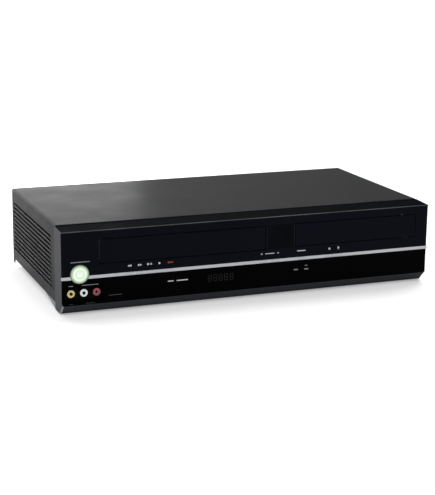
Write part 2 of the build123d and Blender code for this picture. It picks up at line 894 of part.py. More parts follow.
main_standoffs = [
    (main_board_left + standoff_inset, main_front + standoff_inset),
    (boards_right - standoff_inset, main_front + standoff_inset),
    (boards_right - standoff_inset, main_waist - standoff_inset),
    (main_board_left + standoff_inset, main_rear - standoff_inset),
    (main_board_step - standoff_inset, main_rear - standoff_inset),
]
power_standoffs = [(x, y) for x in (power_left + standoff_inset, boards_right - standoff_inset)
                   for y in (power_front + standoff_inset, main_rear - standoff_inset)]
feet_places = [(side * (half_width - foot_from_side), y) for side in (-1, 1)
               for y in (fascia_y + foot_from_front, cover_rear - foot_from_rear)]

with BuildPart() as base_pan:
    pan_wide_from = cover_front + pan_step
    block((-pan_half, pan_half), (pan_wide_from, panel_inner), (skirt_height, pan_top))
    tongue_half = half_width - bezel_wall - fit_gap
    block((-tongue_half, tongue_half), (pan_front, pan_wide_from), (skirt_height, pan_top))
    for side in (-1, 1):
        flange = side * (pan_half - pan_sheet / 2)
        block(around(flange, pan_sheet / 2), (pan_wide_from, panel_inner),
              (skirt_height, pan_top + pan_flange))
    for middle_x in (deck_x, tray_x):
        with Locations((middle_x, (deck_front + deck_rear) / 2, pan_top - pan_sheet / 2)):
            with GridLocations(pan_vent_length + pan_vent_bridge, pan_vent_pitch,
                               pan_vent_columns, pan_vent_rows):
                Box(pan_vent_length, pan_vent_width, 2 * pan_sheet, mode=Mode.SUBTRACT)
    for x, y in deck_posts:
        upright(post_radius, x, y, pan_top - pan_sheet, deck_high)
    for x, y in loader_posts:
        upright(post_radius, x, y, pan_top - pan_sheet, loader_high)
    for x, y in main_standoffs + power_standoffs:
        upright(standoff_radius, x, y, pan_top - pan_sheet, board_low)
    for x, y in feet_places:
        upright(foot_radius, x, y, skirt_height, pan_top)
base_pan.part.label = "base_pan"
export_step(base_pan.part, "parts/base_pan.step")

with BuildPart() as feet:
    for x, y in feet_places:
        upright(foot_radius, x, y, 0, skirt_height)
    ground_rims = feet.edges().filter_by(GeomType.CIRCLE).group_by(Axis.Z)[0]
    fillet(ground_rims, foot_edge)
    for x, y in feet_places:
        upright(foot_hollow, x, y, -overrun, foot_hollow_depth, mode=Mode.SUBTRACT)
feet.part.label = "feet"
export_step(feet.part, "parts/feet.step")

first_column = main_board_left + rear_jack_from_board
jack_columns = [first_column + i * rear_jack_pitch for i in range(rear_jack_columns)]
aerial_x = main_board_left + aerial_from_board
jack_rows = [rear_jack_low + i * rear_jack_row_pitch for i in range(rear_jack_rows)]
rear_places = [(x, z) for z in jack_rows for x in jack_columns]
aerial_rows = (aerial_high, aerial_high + aerial_pitch)
inlet_x = half_width - inlet_from_right - inlet_width / 2
inlet_cut = (inlet_width / 2 + inlet_wall + fit_gap, inlet_height / 2 + inlet_wall + fit_gap)

with BuildPart() as rear_panel:
    block((-pan_half, pan_half), (panel_inner, panel_outer), (skirt_height, cover_under))
    top_corners = rear_panel.edges().filter_by(Axis.Y).group_by(Axis.Z)[-1]
    fillet(top_corners, cover_edge_radius)
    for x, z in rear_places:
        lengthwise(jack_radius + rear_socket_gap, x, z, panel_inner - overrun, panel_outer + overrun,
                   mode=Mode.SUBTRACT)
    for z in aerial_rows:
        lengthwise(aerial_radius + rear_socket_gap, aerial_x, z, panel_inner - overrun,
                   panel_outer + overrun, mode=Mode.SUBTRACT)
    block(around(inlet_x, inlet_cut[0]), (panel_inner - overrun, panel_outer + overrun),
          around(inlet_high, inlet_cut[1]), mode=Mode.SUBTRACT)
    for i in range(screw_count):
        screw_x = (i - (screw_count - 1) / 2) * screw_spacing
        lengthwise(screw_radius + fit_gap, screw_x, screw_z, panel_inner - overrun, panel_outer + overrun,
                   mode=Mode.SUBTRACT)
    with BuildSketch(facing(panel_outer)):
        with Locations((deck_x, (skirt_height + cover_under) / 2)):
            with GridLocations(rear_vent_pitch, 0, rear_vent_count, 1):
                SlotOverall(rear_vent_length, rear_vent_width, rotation=90)
    extrude(amount=panel_sheet * 2, both=True, mode=Mode.SUBTRACT)
rear_panel.part.label = "rear_panel"
export_step(rear_panel.part, "parts/rear_panel.step")

block_half = rear_jack_pitch / 2 + rear_block_rim
with BuildPart() as rear_jack_block:
    block((jack_columns[0] - block_half, jack_columns[-1] + block_half),
          (panel_inner - rear_block_depth, panel_inner), (board_top, jack_rows[-1] + block_half))
rear_jack_block.part.label = "rear_jack_block"
export_step(rear_jack_block.part, "parts/rear_jack_block.step")

with BuildPart() as rear_jacks:
    for x, z in rear_places:
        lengthwise(jack_radius, x, z, panel_inner, rear_y)
    tip_rims = rear_jacks.edges().filter_by(GeomType.CIRCLE).group_by(Axis.Y)[-1]
    fillet(tip_rims, soft_edge)
    for x, z in rear_places:
        lengthwise(jack_bore, x, z, rear_y - jack_bore_depth, rear_y + overrun, mode=Mode.SUBTRACT)
rear_jacks.part.label = "rear_jacks"
export_step(rear_jacks.part, "parts/rear_jacks.step")

with BuildPart() as tuner_module:
    block(around(aerial_x, tuner_width / 2), (panel_inner - tuner_length, panel_inner),
          (board_top, aerial_rows[-1] + tuner_above))
    for z in aerial_rows:
        lengthwise(aerial_radius, aerial_x, z, panel_inner - root, rear_y)
        lengthwise(aerial_bore, aerial_x, z, rear_y - aerial_bore_depth, rear_y + overrun,
                   mode=Mode.SUBTRACT)
tuner_module.part.label = "tuner_module"
export_step(tuner_module.part, "parts/tuner_module.step")

inlet_front = panel_outer - inlet_depth
with BuildPart() as mains_inlet:
    outer = (inlet_width / 2 + inlet_wall, inlet_height / 2 + inlet_wall)
    inlet_back = inlet_front - inlet_back_wall
    block(around(inlet_x, outer[0]), (inlet_back, panel_outer + inlet_flange), around(inlet_high, outer[1]))
    block(around(inlet_x, outer[0] + inlet_lip), (panel_outer, panel_outer + inlet_flange),
          around(inlet_high, outer[1] + inlet_lip))
    with BuildSketch(facing(panel_outer + inlet_flange)):
        with Locations((inlet_x, inlet_high)):
            SlotOverall(inlet_width, inlet_height)
    extrude(amount=inlet_depth + inlet_flange, mode=Mode.SUBTRACT)
    for side in (-1, 1):
        lengthwise(inlet_pin_radius, inlet_x + side * inlet_pin_pitch / 2, inlet_high,
                   inlet_front - root, panel_outer)
    block(around(inlet_x, outer[0] - inlet_leg_inset), (inlet_back, panel_inner - root),
          (board_top, inlet_high - outer[1] + root))
mains_inlet.part.label = "mains_inlet"
export_step(mains_inlet.part, "parts/mains_inlet.step")

with BuildPart() as main_board:
    with BuildSketch(Plane.XY.offset(board_low)):
        with BuildLine():
            Polyline(*main_outline, close=True)
        make_face()
        with Locations(*loader_posts):
            Circle(post_radius + post_hole_gap, mode=Mode.SUBTRACT)
    extrude(amount=board_thickness)
    # the decoder chip, the tuner control chip and two rows of capacitors
    raised = board_top - sink
    chip_x = (main_board_step + boards_right) / 2
    block(around(chip_x, decoder_size / 2), around(main_front + decoder_from_front, decoder_size / 2),
          (raised, board_top + chip_height))
    block(around(main_board_left + control_chip_place[0], control_chip[0] / 2),
          around(main_front + control_chip_place[1], control_chip[1] / 2), (raised, board_top + chip_height))
    for i in range(capacitor_count):
        for start, place, size in ((main_board_left, signal_capacitor_place, signal_capacitor),
                                   (chip_x, supply_capacitor_place, supply_capacitor)):
            upright(size[0], start + place[0] + i * capacitor_pitch, main_front + place[1],
                    raised, board_top + size[1])
main_board.part.label = "main_board"
export_step(main_board.part, "parts/main_board.step")

with BuildPart() as power_board:
    block((power_left, boards_right), (power_front, main_rear), (board_low, board_top))
    core_x = power_left + core_place[0]
    core_y = power_front + core_place[1]
    block(around(core_x, core_size[0] / 2), around(core_y, core_size[1] / 2),
          (raised, board_top + core_size[2]))
    block(around(core_x, coil_size[0] / 2), around(core_y, coil_size[1] / 2),
          (board_top + coil_span[0], board_top + coil_span[1]))
    upright(reservoir[0], core_x + reservoir_beside, core_y, raised, board_top + reservoir[1])
    for i in range(output_count):
        upright(output_capacitor[0], power_left + output_place[0],
                power_front + output_place[1] + i * capacitor_pitch, raised, board_top + output_capacitor[1])
    for i in range(fin_count):
        block(around(core_x + fin_place[0] + i * fin_pitch, fin_size[0] / 2),
              (power_front + fin_place[1], power_front + fin_place[1] + fin_size[1]),
              (raised, board_top + fin_size[2]))
power_board.part.label = "power_board"
export_step(power_board.part, "parts/power_board.step")

# ================================================================ cassette deck
deck_top = deck_high + deck_sheet
holder_inner = cassette_width / 2 + holder_slack
holder_outer = holder_inner + holder_sheet
slider_inner = holder_outer + slider_play
slider_outer = slider_inner + slider_thickness
side_inner = slider_outer + run_gap
side_outer = side_inner + deck_sheet
holder_front = deck_front + holder_from_deck
holder_back = holder_front + holder_length
slot_middle = (door_bottom + door_top) / 2
holder_low = slot_middle - cassette_thick / 2 - holder_slack - holder_sheet
holder_top = slot_middle + cassette_thick / 2 + holder_slack + holder_sheet
slider_front = holder_front + slider_from_holder
slider_back = slider_front + slider_length
slider_low = holder_low - slider_skirt
holder_drop = slider_low - deck_top - slider_clearance
side_top = holder_top + side_above_holder
holder_pin_y = (slider_front + slider_back) / 2
holder_pin_z = slot_middle + holder_pin_above
guide_pins = (slider_front + guide_inset, slider_back - guide_inset)
guide_z = holder_top - guide_drop
side_back = deck_front + side_length
reel_pitch = cassette_width - 2 * reel_from_end
holder_window_pitch = (cassette_width - 2 * holder_window_margin) / holder_windows
reel_places = {
    "supply_reel": (deck_x - reel_pitch / 2, fascia_y + reel_from_front),
    "takeup_reel": (deck_x + reel_pitch / 2, fascia_y + reel_from_front),
}
drum_x = deck_x
drum_y = rear_y - drum_from_rear
capstan_x = deck_right - capstan_from_edge
capstan_y = rear_y - capstan_from_rear
clutch_x = deck_x
clutch_y = fascia_y + clutch_from_front
pulley_low = flywheel_low + flywheel_thick
pulley_high = pulley_low + pulley_width
pinch_x = deck_right - pinch_pivot_from_edge
pinch_y = rear_y - pinch_pivot_from_rear

with BuildPart() as deck_plate:
    block((deck_left, deck_right), (deck_front, deck_rear), (deck_high, deck_top))
    deck_corners = deck_plate.edges().filter_by(Axis.Z)
    fillet(deck_corners, deck_corner)
    # windows under the holder's path and behind the reels, to save weight
    deck_cut = (deck_high - overrun, deck_top + overrun)
    window_front = deck_front + deck_window_from_front
    for side in (-1, 1):
        block(around(deck_x + side * (deck_half - deck_window_inset), deck_window[0] / 2),
              (window_front, window_front + deck_window[1]), deck_cut, mode=Mode.SUBTRACT)
    rear_window_front = clutch_y + deck_rear_window_behind
    block(around(deck_x, deck_rear_window[0] / 2),
          (rear_window_front, rear_window_front + deck_rear_window[1]), deck_cut, mode=Mode.SUBTRACT)
    upright(bearing_hole, capstan_x, capstan_y, deck_cut[0], deck_cut[1], mode=Mode.SUBTRACT)
    # fixed pins that the reels, the clutch pulley and the pinch arm turn on
    for x, y in reel_places.values():
        upright(reel_pin + pin_collar, x, y, deck_top - sink, deck_top + collar_height)
        upright(reel_pin, x, y, deck_top, deck_top + reel_height - overrun)
    upright(clutch_shaft, clutch_x, clutch_y, pulley_low - overrun, deck_high + sink)
    upright(clutch_shaft + pin_collar, clutch_x, clutch_y, pulley_high + pulley_gap, deck_high + sink)
    upright(pinch_pin, pinch_x, pinch_y, deck_top - sink, deck_top + pinch_pin_height)
deck_plate.part.label = "deck_plate"
export_step(deck_plate.part, "parts/deck_plate.step")

for side_name, side in (("left_deck_side", -1), ("right_deck_side", 1)):
    with BuildPart() as deck_side:
        wall = sorted((deck_x + side * side_inner, deck_x + side * side_outer))
        block(wall, (deck_front, side_back), (deck_top, side_top))
        with BuildSketch(Plane.YZ.offset(deck_x)):
            slot_front = guide_pins[0] - slider_pin - run_gap
            slot_back = guide_pins[1] + slider_travel + slider_pin + run_gap
            with Locations(((slot_front + slot_back) / 2, guide_z)):
                SlotOverall(slot_back - slot_front, 2 * (slider_pin + slot_play))
            window_z = (deck_top + slot_middle) / 2 + side_window_raise
            with Locations(((side_back + holder_back) / 2, window_z)):
                RectangleRounded(side_back - holder_back - 2 * side_window_margin,
                                 slot_middle - deck_top - 2 * side_window_margin, side_window_corner)
        extrude(amount=side * (side_outer + overrun), mode=Mode.SUBTRACT)
        foot = sorted((deck_x + side * side_outer, deck_x + side * (side_outer - side_foot)))
        for y in (deck_front + side_foot, side_back - side_foot):
            block(foot, around(y, side_foot_length / 2), (deck_top, deck_top + deck_sheet))
    deck_side.part.label = side_name
    export_step(deck_side.part, f"parts/{side_name}.step")

with BuildPart() as holder_sliders:
    for side in (-1, 1):
        plate = sorted((deck_x + side * slider_inner, deck_x + side * slider_outer))
        block(plate, (slider_front, slider_back), (slider_low - holder_drop, holder_top))
        low_pin = holder_pin_z - holder_drop - slider_pin - run_gap
        high_pin = holder_pin_z + slider_pin + run_gap
        with BuildSketch(Plane.YZ.offset(deck_x)):
            with Locations((holder_pin_y, (low_pin + high_pin) / 2)):
                SlotOverall(high_pin - low_pin, 2 * (slider_pin + slot_play), rotation=90)
        extrude(amount=side * (slider_outer + overrun), mode=Mode.SUBTRACT)
        for y in guide_pins:
            tip = sorted((deck_x + side * (slider_outer - pin_root),
                          deck_x + side * (side_outer + guide_pin_proud)))
            crosswise(slider_pin, y, guide_z, tip[0], tip[1])
holder_sliders.part.label = "holder_sliders"
export_step(holder_sliders.part, "parts/holder_sliders.step")

with BuildPart() as cassette_holder:
    with BuildSketch(facing(holder_front)):
        with Locations((deck_x, (holder_low + holder_top) / 2)):
            Rectangle(2 * holder_outer, holder_top - holder_low)
            Rectangle(2 * holder_inner, holder_top - holder_low - 2 * holder_sheet, mode=Mode.SUBTRACT)
        with Locations((deck_x, holder_low + holder_sheet / 2)):
            Rectangle(2 * (holder_inner - holder_flange), holder_sheet * 2, mode=Mode.SUBTRACT)
    extrude(amount=-holder_length)
    with BuildSketch(Plane.XY.offset(holder_top)):
        with Locations((deck_x, (holder_front + holder_back) / 2)):
            with GridLocations(holder_window_pitch, 0, holder_windows, 1):
                RectangleRounded(holder_window_pitch - holder_window_bridge, holder_window_length,
                                 holder_window_corner)
    extrude(amount=-holder_sheet * 2, mode=Mode.SUBTRACT)
    for side in (-1, 1):
        pin = sorted((deck_x + side * (holder_outer - pin_root), deck_x + side * slider_outer))
        crosswise(slider_pin, holder_pin_y, holder_pin_z, pin[0], pin[1])
cassette_holder.part.label = "cassette_holder"
export_step(cassette_holder.part, "parts/cassette_holder.step")

for reel_name, (x, y) in reel_places.items():
    with BuildPart() as reel:
        reel_low = deck_top + collar_height + run_gap
        upright(reel_radius, x, y, reel_low, reel_low + reel_disc)
        upright(reel_hub, x, y, reel_low, reel_low + reel_height - reel_neck_height)
        upright(reel_neck, x, y, reel_low, reel_low + reel_height)
        for i in range(reel_fins):
            with Locations(Location((x, y, reel_low + reel_height / 2), (0, 0, i * 360 / reel_fins))):
                with Locations((reel_hub / 2, 0, 0)):
                    Box(reel_hub, reel_fin_thickness, reel_height)
        upright(reel_pin + bore_gap, x, y, reel_low - overrun, reel_low + reel_height - overrun,
                mode=Mode.SUBTRACT)
    reel.part.label = reel_name
    export_step(reel.part, f"parts/{reel_name}.step")

drum_plane = Plane(
    origin=(drum_x, drum_y, deck_top + drum_foot),
    x_dir=(1, 0, 0),
    z_dir=(0, sin(radians(drum_tilt)), cos(radians(drum_tilt))),
)
with BuildPart() as drum_base:
    with BuildSketch(Plane.XY.offset(deck_top)):
        with Locations((drum_x, drum_y)):
            Circle(drum_foot_radius)
    extrude(amount=drum_foot_height)
    with BuildSketch(drum_plane):
        Circle(drum_radius)
    extrude(amount=drum_base_height)
    with BuildSketch(drum_plane):
        Circle(drum_shaft + bore_gap)
    extrude(amount=drum_base_height + overrun, mode=Mode.SUBTRACT)
drum_base.part.label = "drum_base"
export_step(drum_base.part, "parts/drum_base.step")

with BuildPart() as drum_rotor:
    with BuildSketch(drum_plane.offset(drum_base_height + run_gap)):
        Circle(drum_radius)
    extrude(amount=drum_top_height)
    with BuildSketch(drum_plane.offset(root)):
        Circle(drum_shaft)
    extrude(amount=drum_base_height)
    with BuildSketch(drum_plane.offset(drum_base_height + drum_top_height)):
        Circle(drum_radius - drum_rim)
        Circle(drum_boss, mode=Mode.SUBTRACT)
    extrude(amount=drum_dish, mode=Mode.SUBTRACT)
    # small head windows round the lower edge
    with BuildSketch(drum_plane.offset(drum_base_height + run_gap)):
        with PolarLocations(drum_radius, drum_windows):
            Rectangle(drum_window[0], drum_window[1])
    extrude(amount=drum_window_height, mode=Mode.SUBTRACT)
drum_rotor.part.label = "drum_rotor"
export_step(drum_rotor.part, "parts/drum_rotor.step")

with BuildPart() as capstan_motor:
    upright(motor_radius, capstan_x, capstan_y, deck_high - motor_thick, deck_high)
    upright(bearing_radius, capstan_x, capstan_y, deck_high - root, deck_top)
    upright(capstan_radius + bore_gap, capstan_x, capstan_y, deck_high - motor_thick - overrun,
            deck_top + overrun, mode=Mode.SUBTRACT)
capstan_motor.part.label = "capstan_motor"
export_step(capstan_motor.part, "parts/capstan_motor.step")

with BuildPart() as capstan:
    upright(flywheel_radius, capstan_x, capstan_y, flywheel_low, pulley_low)
    upright(capstan_pulley, capstan_x, capstan_y, pulley_low - sink, pulley_high)
    upright(capstan_radius, capstan_x, capstan_y, pulley_low, capstan_high)
    rim = capstan.edges().filter_by(GeomType.CIRCLE).group_by(Axis.Z)[0]
    chamfer(rim, flywheel_edge)
capstan.part.label = "capstan"
export_step(capstan.part, "parts/capstan.step")

with BuildPart() as clutch_pulley:
    upright(clutch_pulley_radius, clutch_x, clutch_y, pulley_low, pulley_high)
    clutch_low = pulley_low - clutch_hub_drop
    upright(clutch_hub, clutch_x, clutch_y, clutch_low, pulley_low + root)
    upright(clutch_shaft + bore_gap, clutch_x, clutch_y, clutch_low - overrun, pulley_high + overrun,
            mode=Mode.SUBTRACT)
clutch_pulley.part.label = "clutch_pulley"
export_step(clutch_pulley.part, "parts/clutch_pulley.step")

with BuildPart() as reel_belt:
    belt_low = (pulley_low + pulley_high - belt_width) / 2
    for extra, mode in ((belt_thick, Mode.ADD), (0, Mode.SUBTRACT)):
        with BuildSketch(Plane.XY.offset(belt_low)):
            with Locations((capstan_x, capstan_y)):
                Circle(capstan_pulley + run_gap + extra)
            with Locations((clutch_x, clutch_y)):
                Circle(clutch_pulley_radius + run_gap + extra)
            make_hull()
        extrude(amount=belt_width, mode=mode)
reel_belt.part.label = "reel_belt"
export_step(reel_belt.part, "parts/reel_belt.step")

# The pinch arm rests swung back; its far limit brings the roller to the capstan.
pivot_gap = hypot(pinch_x - capstan_x, pinch_y - capstan_y)
contact_gap = capstan_radius + pinch_radius + run_gap
contact_turn = acos((pivot_gap ** 2 + pinch_arm_length ** 2 - contact_gap ** 2)
                    / (2 * pivot_gap * pinch_arm_length))
to_capstan = atan2(capstan_y - pinch_y, capstan_x - pinch_x)
rest_turn = to_capstan - contact_turn - radians(pinch_swing)
roller_x = pinch_x + pinch_arm_length * cos(rest_turn)
roller_y = pinch_y + pinch_arm_length * sin(rest_turn)
arm_low = deck_top + run_gap
roller_low = arm_low + pinch_plate + run_gap

with BuildPart() as pinch_arm:
    with BuildSketch(Plane.XY.offset(arm_low)):
        with Locations((pinch_x, pinch_y)):
            Circle(pinch_boss)
        with Locations((roller_x, roller_y)):
            Circle(pinch_arm_tip)
        make_hull()
    extrude(amount=pinch_plate)
    arm_top = arm_low + pinch_boss_height
    upright(pinch_boss, pinch_x, pinch_y, arm_low, arm_top)
    upright(pinch_pin, roller_x, roller_y, arm_low, roller_low + pinch_height + pinch_pin_proud)
    upright(pinch_pin + bore_gap, pinch_x, pinch_y, arm_low - overrun, arm_top + overrun, mode=Mode.SUBTRACT)
pinch_arm.part.label = "pinch_arm"
export_step(pinch_arm.part, "parts/pinch_arm.step")

with BuildPart() as pinch_roller:
    upright(pinch_radius, roller_x, roller_y, roller_low, roller_low + pinch_height)
    roller_rims = pinch_roller.edges().filter_by(GeomType.CIRCLE)
    fillet(roller_rims, pinch_edge)
    upright(pinch_pin + bore_gap, roller_x, roller_y, roller_low - overrun,
            roller_low + pinch_height + overrun, mode=Mode.SUBTRACT)
pinch_roller.part.label = "pinch_roller"
export_step(pinch_roller.part, "parts/pinch_roller.step")

# ================================================================ disc loader
wall_inner = tray_width / 2 + run_gap
wall_outer = wall_inner + loader_wall
plate_top = loader_high + loader_plate
loader_top = tray_bottom + loader_above_tray
tray_low = tray_bottom + tray_rail_drop
tray_top = tray_low + tray_plate
tray_back = tray_front_back + tray_length
disc_y = tray_front_back + tray_front_margin + disc_radius + disc_clearance
gear_radius = gear_module * gear_teeth / 2
tooth_pitch = pi * gear_module
rack_pitch_x = tray_x - tray_width / 2 + rack_from_edge
gear_x = rack_pitch_x + gear_radius
gear_y = fascia_y + gear_from_front
gear_top = tray_low - run_gap
gear_low = gear_top - gear_thick
traverse_front = fascia_y + traverse_from_front
traverse_back = traverse_front + traverse_length
traverse_low = tray_bottom - traverse_below_tray
traverse_top = traverse_low + traverse_sheet
traverse_pivot_high = tray_bottom - pivot_below_tray
spindle_motor_top = tray_bottom - motor_below_tray
turntable_top = tray_bottom + turntable_above_tray
rod_high = tray_bottom - rod_below_tray
lens_top = tray_bottom + lens_above_tray
pivot_y = traverse_back - traverse_pivot_inset
pivot_reach = traverse_width / 2 + traverse_pin_reach
rod_front = disc_y + spindle_motor_radius - rod_overlap
rod_back = rod_front + rod_length
lens_y = disc_y + lens_reach
sled_front = lens_y - sled_before_lens


def tooth():
    # one straight-sided tooth that points along +X from the pitch line
    wide = tooth_pitch * (tooth_share / 2 + tooth_root[1])
    narrow = tooth_pitch * (tooth_share / 2 - tooth_tip[1])
    Polygon(
        (-gear_module * tooth_root[0], -wide),
        (gear_module * tooth_tip[0], -narrow),
        (gear_module * tooth_tip[0], narrow),
        (-gear_module * tooth_root[0], wide),
        align=None,
    )


with BuildPart() as loader_frame:
    block(around(tray_x, wall_outer), (loader_front, loader_rear), (loader_high, plate_top))
    for side in (-1, 1):
        wall = sorted((tray_x + side * wall_inner, tray_x + side * wall_outer))
        block(wall, (loader_front, loader_rear), (loader_high, loader_top))
        ledge = sorted((tray_x + side * (wall_inner + wall_root), tray_x + side * (wall_inner - ledge_width)))
        ledge_top = tray_bottom - run_gap
        block(ledge, (loader_front, loader_rear), (ledge_top - ledge_thick, ledge_top))
        tab = sorted((tray_x + side * (wall_inner + wall_root), tray_x + side * (wall_inner - loader_tab)))
        tab_low = tray_top + run_gap
        for y in (loader_front + loader_tab_inset, (loader_front + loader_rear) / 2,
                  loader_rear - loader_tab_inset):
            block(tab, around(y, loader_tab_length / 2), (tab_low, tab_low + loader_tab_thick))
        boss = sorted((tray_x + side * (traverse_width / 2 + loader_boss_gap),
                       tray_x + side * (pivot_reach + loader_boss_past)))
        block(boss, around(pivot_y, loader_boss_length / 2),
              (plate_top - sink, traverse_pivot_high + loader_boss_above))
    block(around(tray_x, traverse_width / 2 + loader_window_margin),
          (traverse_front - loader_window_front, traverse_back + overrun),
          (loader_high - overrun, plate_top + overrun), mode=Mode.SUBTRACT)
    crosswise(traverse_pin + bore_gap, pivot_y, traverse_pivot_high, tray_x - pivot_reach - run_gap,
              tray_x + pivot_reach + run_gap, mode=Mode.SUBTRACT)
    upright(gear_pin + pin_collar, gear_x, gear_y, plate_top - sink, gear_low - run_gap)
    upright(gear_pin, gear_x, gear_y, plate_top, gear_top - gear_pin_drop)
loader_frame.part.label = "loader_frame"
export_step(loader_frame.part, "parts/loader_frame.step")

with BuildPart() as disc_tray:
    block(around(tray_x, tray_width / 2), (tray_front_back, tray_back), (tray_low, tray_top))
    for side in (-1, 1):
        rail = sorted((tray_x + side * tray_width / 2, tray_x + side * (tray_width / 2 - tray_rail)))
        block(rail, (tray_front_back, tray_back), (tray_bottom, tray_low + root))
    upright(disc_radius + disc_clearance, tray_x, disc_y, tray_top - disc_well, tray_top + overrun,
            mode=Mode.SUBTRACT)
    upright(small_disc_radius + small_disc_clearance, tray_x, disc_y,
            tray_top - disc_well - small_disc_well, tray_top, mode=Mode.SUBTRACT)
    tray_cut = (tray_low - overrun, tray_top + overrun)
    upright(tray_slot_width / 2, tray_x, disc_y, tray_cut[0], tray_cut[1], mode=Mode.SUBTRACT)
    block(around(tray_x, tray_slot_width / 2), (disc_y, tray_back + overrun), tray_cut, mode=Mode.SUBTRACT)
    # finger dips at both sides of the disc well
    for side in (-1, 1):
        upright(finger_dip, tray_x + side * (disc_radius - overrun), disc_y, tray_low + finger_dip_floor,
                tray_cut[1], mode=Mode.SUBTRACT)
    # the toothed rack under the left side
    with BuildSketch(Plane.XY.offset(gear_low)):
        rack_front = tray_front_back + rack_margin
        first = int((rack_front - gear_y) / tooth_pitch)
        last = int((tray_back - rack_margin - gear_y) / tooth_pitch)
        block_right = rack_pitch_x - gear_module * rack_rest
        with Locations((block_right - rack_back / 2, (rack_front + tray_back) / 2)):
            Rectangle(rack_back, tray_back - rack_front)
        for i in range(first, last):
            with Locations((rack_pitch_x, gear_y + (i + 1 / 2) * tooth_pitch)):
                tooth()
    extrude(amount=tray_low - gear_low + sink)
disc_tray.part.label = "disc_tray"
export_step(disc_tray.part, "parts/disc_tray.step")

with BuildPart() as tray_front:
    block((tray_front_left, tray_front_right), (fascia_y, tray_front_back),
          (tray_front_bottom, tray_front_top))
    front_face = tray_front.faces().sort_by(Axis.Y)[0]
    fillet(front_face.edges(), soft_edge)
tray_front.part.label = "tray_front"
export_step(tray_front.part, "parts/tray_front.step")

with BuildPart() as tray_gear:
    with BuildSketch(Plane.XY.offset(gear_low)):
        with Locations((gear_x, gear_y)):
            Circle(gear_radius - gear_module * gear_rest)
            with PolarLocations(gear_radius, gear_teeth):
                tooth()
    extrude(amount=gear_thick)
    upright(gear_pin + bore_gap, gear_x, gear_y, gear_low - overrun, gear_top + overrun, mode=Mode.SUBTRACT)
tray_gear.part.label = "tray_gear"
export_step(tray_gear.part, "parts/tray_gear.step")

with BuildPart() as traverse_plate:
    block(around(tray_x, traverse_width / 2), (traverse_front, traverse_back), (traverse_low, traverse_top))
    plate_corners = traverse_plate.edges().filter_by(Axis.Z)
    fillet(plate_corners, traverse_corner)
    block(around(tray_x, rod_spread / 2 - traverse_window_margin),
          (rod_front + traverse_window_ends, rod_back - traverse_window_ends),
          (traverse_low - overrun, traverse_top + overrun), mode=Mode.SUBTRACT)
    for side in (-1, 1):
        ear = sorted((tray_x + side * traverse_width / 2,
                      tray_x + side * (traverse_width / 2 - traverse_ear)))
        block(ear, around(pivot_y, traverse_ear_length / 2),
              (traverse_low + root, traverse_pivot_high + traverse_ear))
        reach = sorted((tray_x + side * (traverse_width / 2 - root), tray_x + side * pivot_reach))
        crosswise(traverse_pin, pivot_y, traverse_pivot_high, reach[0], reach[1])
        for y in (rod_front + rod_clip / 2, rod_back - rod_clip / 2):
            rod_x = tray_x + side * rod_spread / 2
            block(around(rod_x, rod_clip), around(y, rod_clip / 2),
                  (traverse_top - root, rod_high + rod_clip))
            lengthwise(rod_radius, rod_x, rod_high, y - rod_clip, y + rod_clip, mode=Mode.SUBTRACT)
traverse_plate.part.label = "traverse_plate"
export_step(traverse_plate.part, "parts/traverse_plate.step")

with BuildPart() as sled_rods:
    for side in (-1, 1):
        lengthwise(rod_radius, tray_x + side * rod_spread / 2, rod_high, rod_front, rod_back)
sled_rods.part.label = "sled_rods"
export_step(sled_rods.part, "parts/sled_rods.step")

with BuildPart() as spindle_motor:
    upright(spindle_motor_radius, tray_x, disc_y, traverse_top, spindle_motor_top)
    upright(spindle_radius + bore_gap, tray_x, disc_y, traverse_top + root, spindle_motor_top + overrun,
            mode=Mode.SUBTRACT)
spindle_motor.part.label = "spindle_motor"
export_step(spindle_motor.part, "parts/spindle_motor.step")

with BuildPart() as turntable:
    upright(turntable_radius, tray_x, disc_y, turntable_top - turntable_disc, turntable_top)
    upright(turntable_skirt, tray_x, disc_y, spindle_motor_top + run_gap, turntable_top)
    upright(turntable_hub, tray_x, disc_y, turntable_top - sink, turntable_top + turntable_hub_height)
    hub_rim = turntable.edges().filter_by(GeomType.CIRCLE).sort_by(Axis.Z)[-1]
    chamfer(hub_rim, turntable_hub_edge)
    upright(spindle_radius, tray_x, disc_y, traverse_top + root + run_gap, spindle_motor_top + root)
turntable.part.label = "turntable"
export_step(turntable.part, "parts/turntable.step")

with BuildPart() as optical_sled:
    half = rod_spread / 2 + rod_radius + sled_side
    low = rod_high - rod_radius - sled_below_rod
    block(around(tray_x, half), (sled_front, sled_front + sled_length), (low, low + sled_height))
    upright(lens_radius + lens_rim, tray_x, lens_y, low, lens_top - lens_rim_drop)
    upright(lens_radius, tray_x, lens_y, low, lens_top)
    for side in (-1, 1):
        lengthwise(rod_radius + bore_gap, tray_x + side * rod_spread / 2, rod_high,
                   sled_front - overrun, sled_front + sled_length + overrun, mode=Mode.SUBTRACT)
optical_sled.part.label = "optical_sled"
export_step(optical_sled.part, "parts/optical_sled.step")

bridge_top = loader_top + bridge_sheet
puck_low = turntable_top + turntable_hub_height + run_gap
with BuildPart() as clamp_bridge:
    block(around(tray_x, wall_outer), around(disc_y, bridge_length / 2), (loader_top, bridge_top))
    bridge_corners = clamp_bridge.edges().filter_by(Axis.Z)
    fillet(bridge_corners, bridge_corner)
    upright(bridge_hole, tray_x, disc_y, loader_top - overrun, bridge_top + overrun, mode=Mode.SUBTRACT)
clamp_bridge.part.label = "clamp_bridge"
export_step(clamp_bridge.part, "parts/clamp_bridge.step")

with BuildPart() as clamp_puck:
    upright(puck_radius, tray_x, disc_y, puck_low, puck_low + puck_disc)
    cap_low = bridge_top + run_gap
    upright(puck_neck, tray_x, disc_y, puck_low, cap_low + sink)
    upright(puck_cap, tray_x, disc_y, cap_low, cap_low + puck_cap_thick)
clamp_puck.part.label = "clamp_puck"
export_step(clamp_puck.part, "parts/clamp_puck.step")
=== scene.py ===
import json
from math import radians

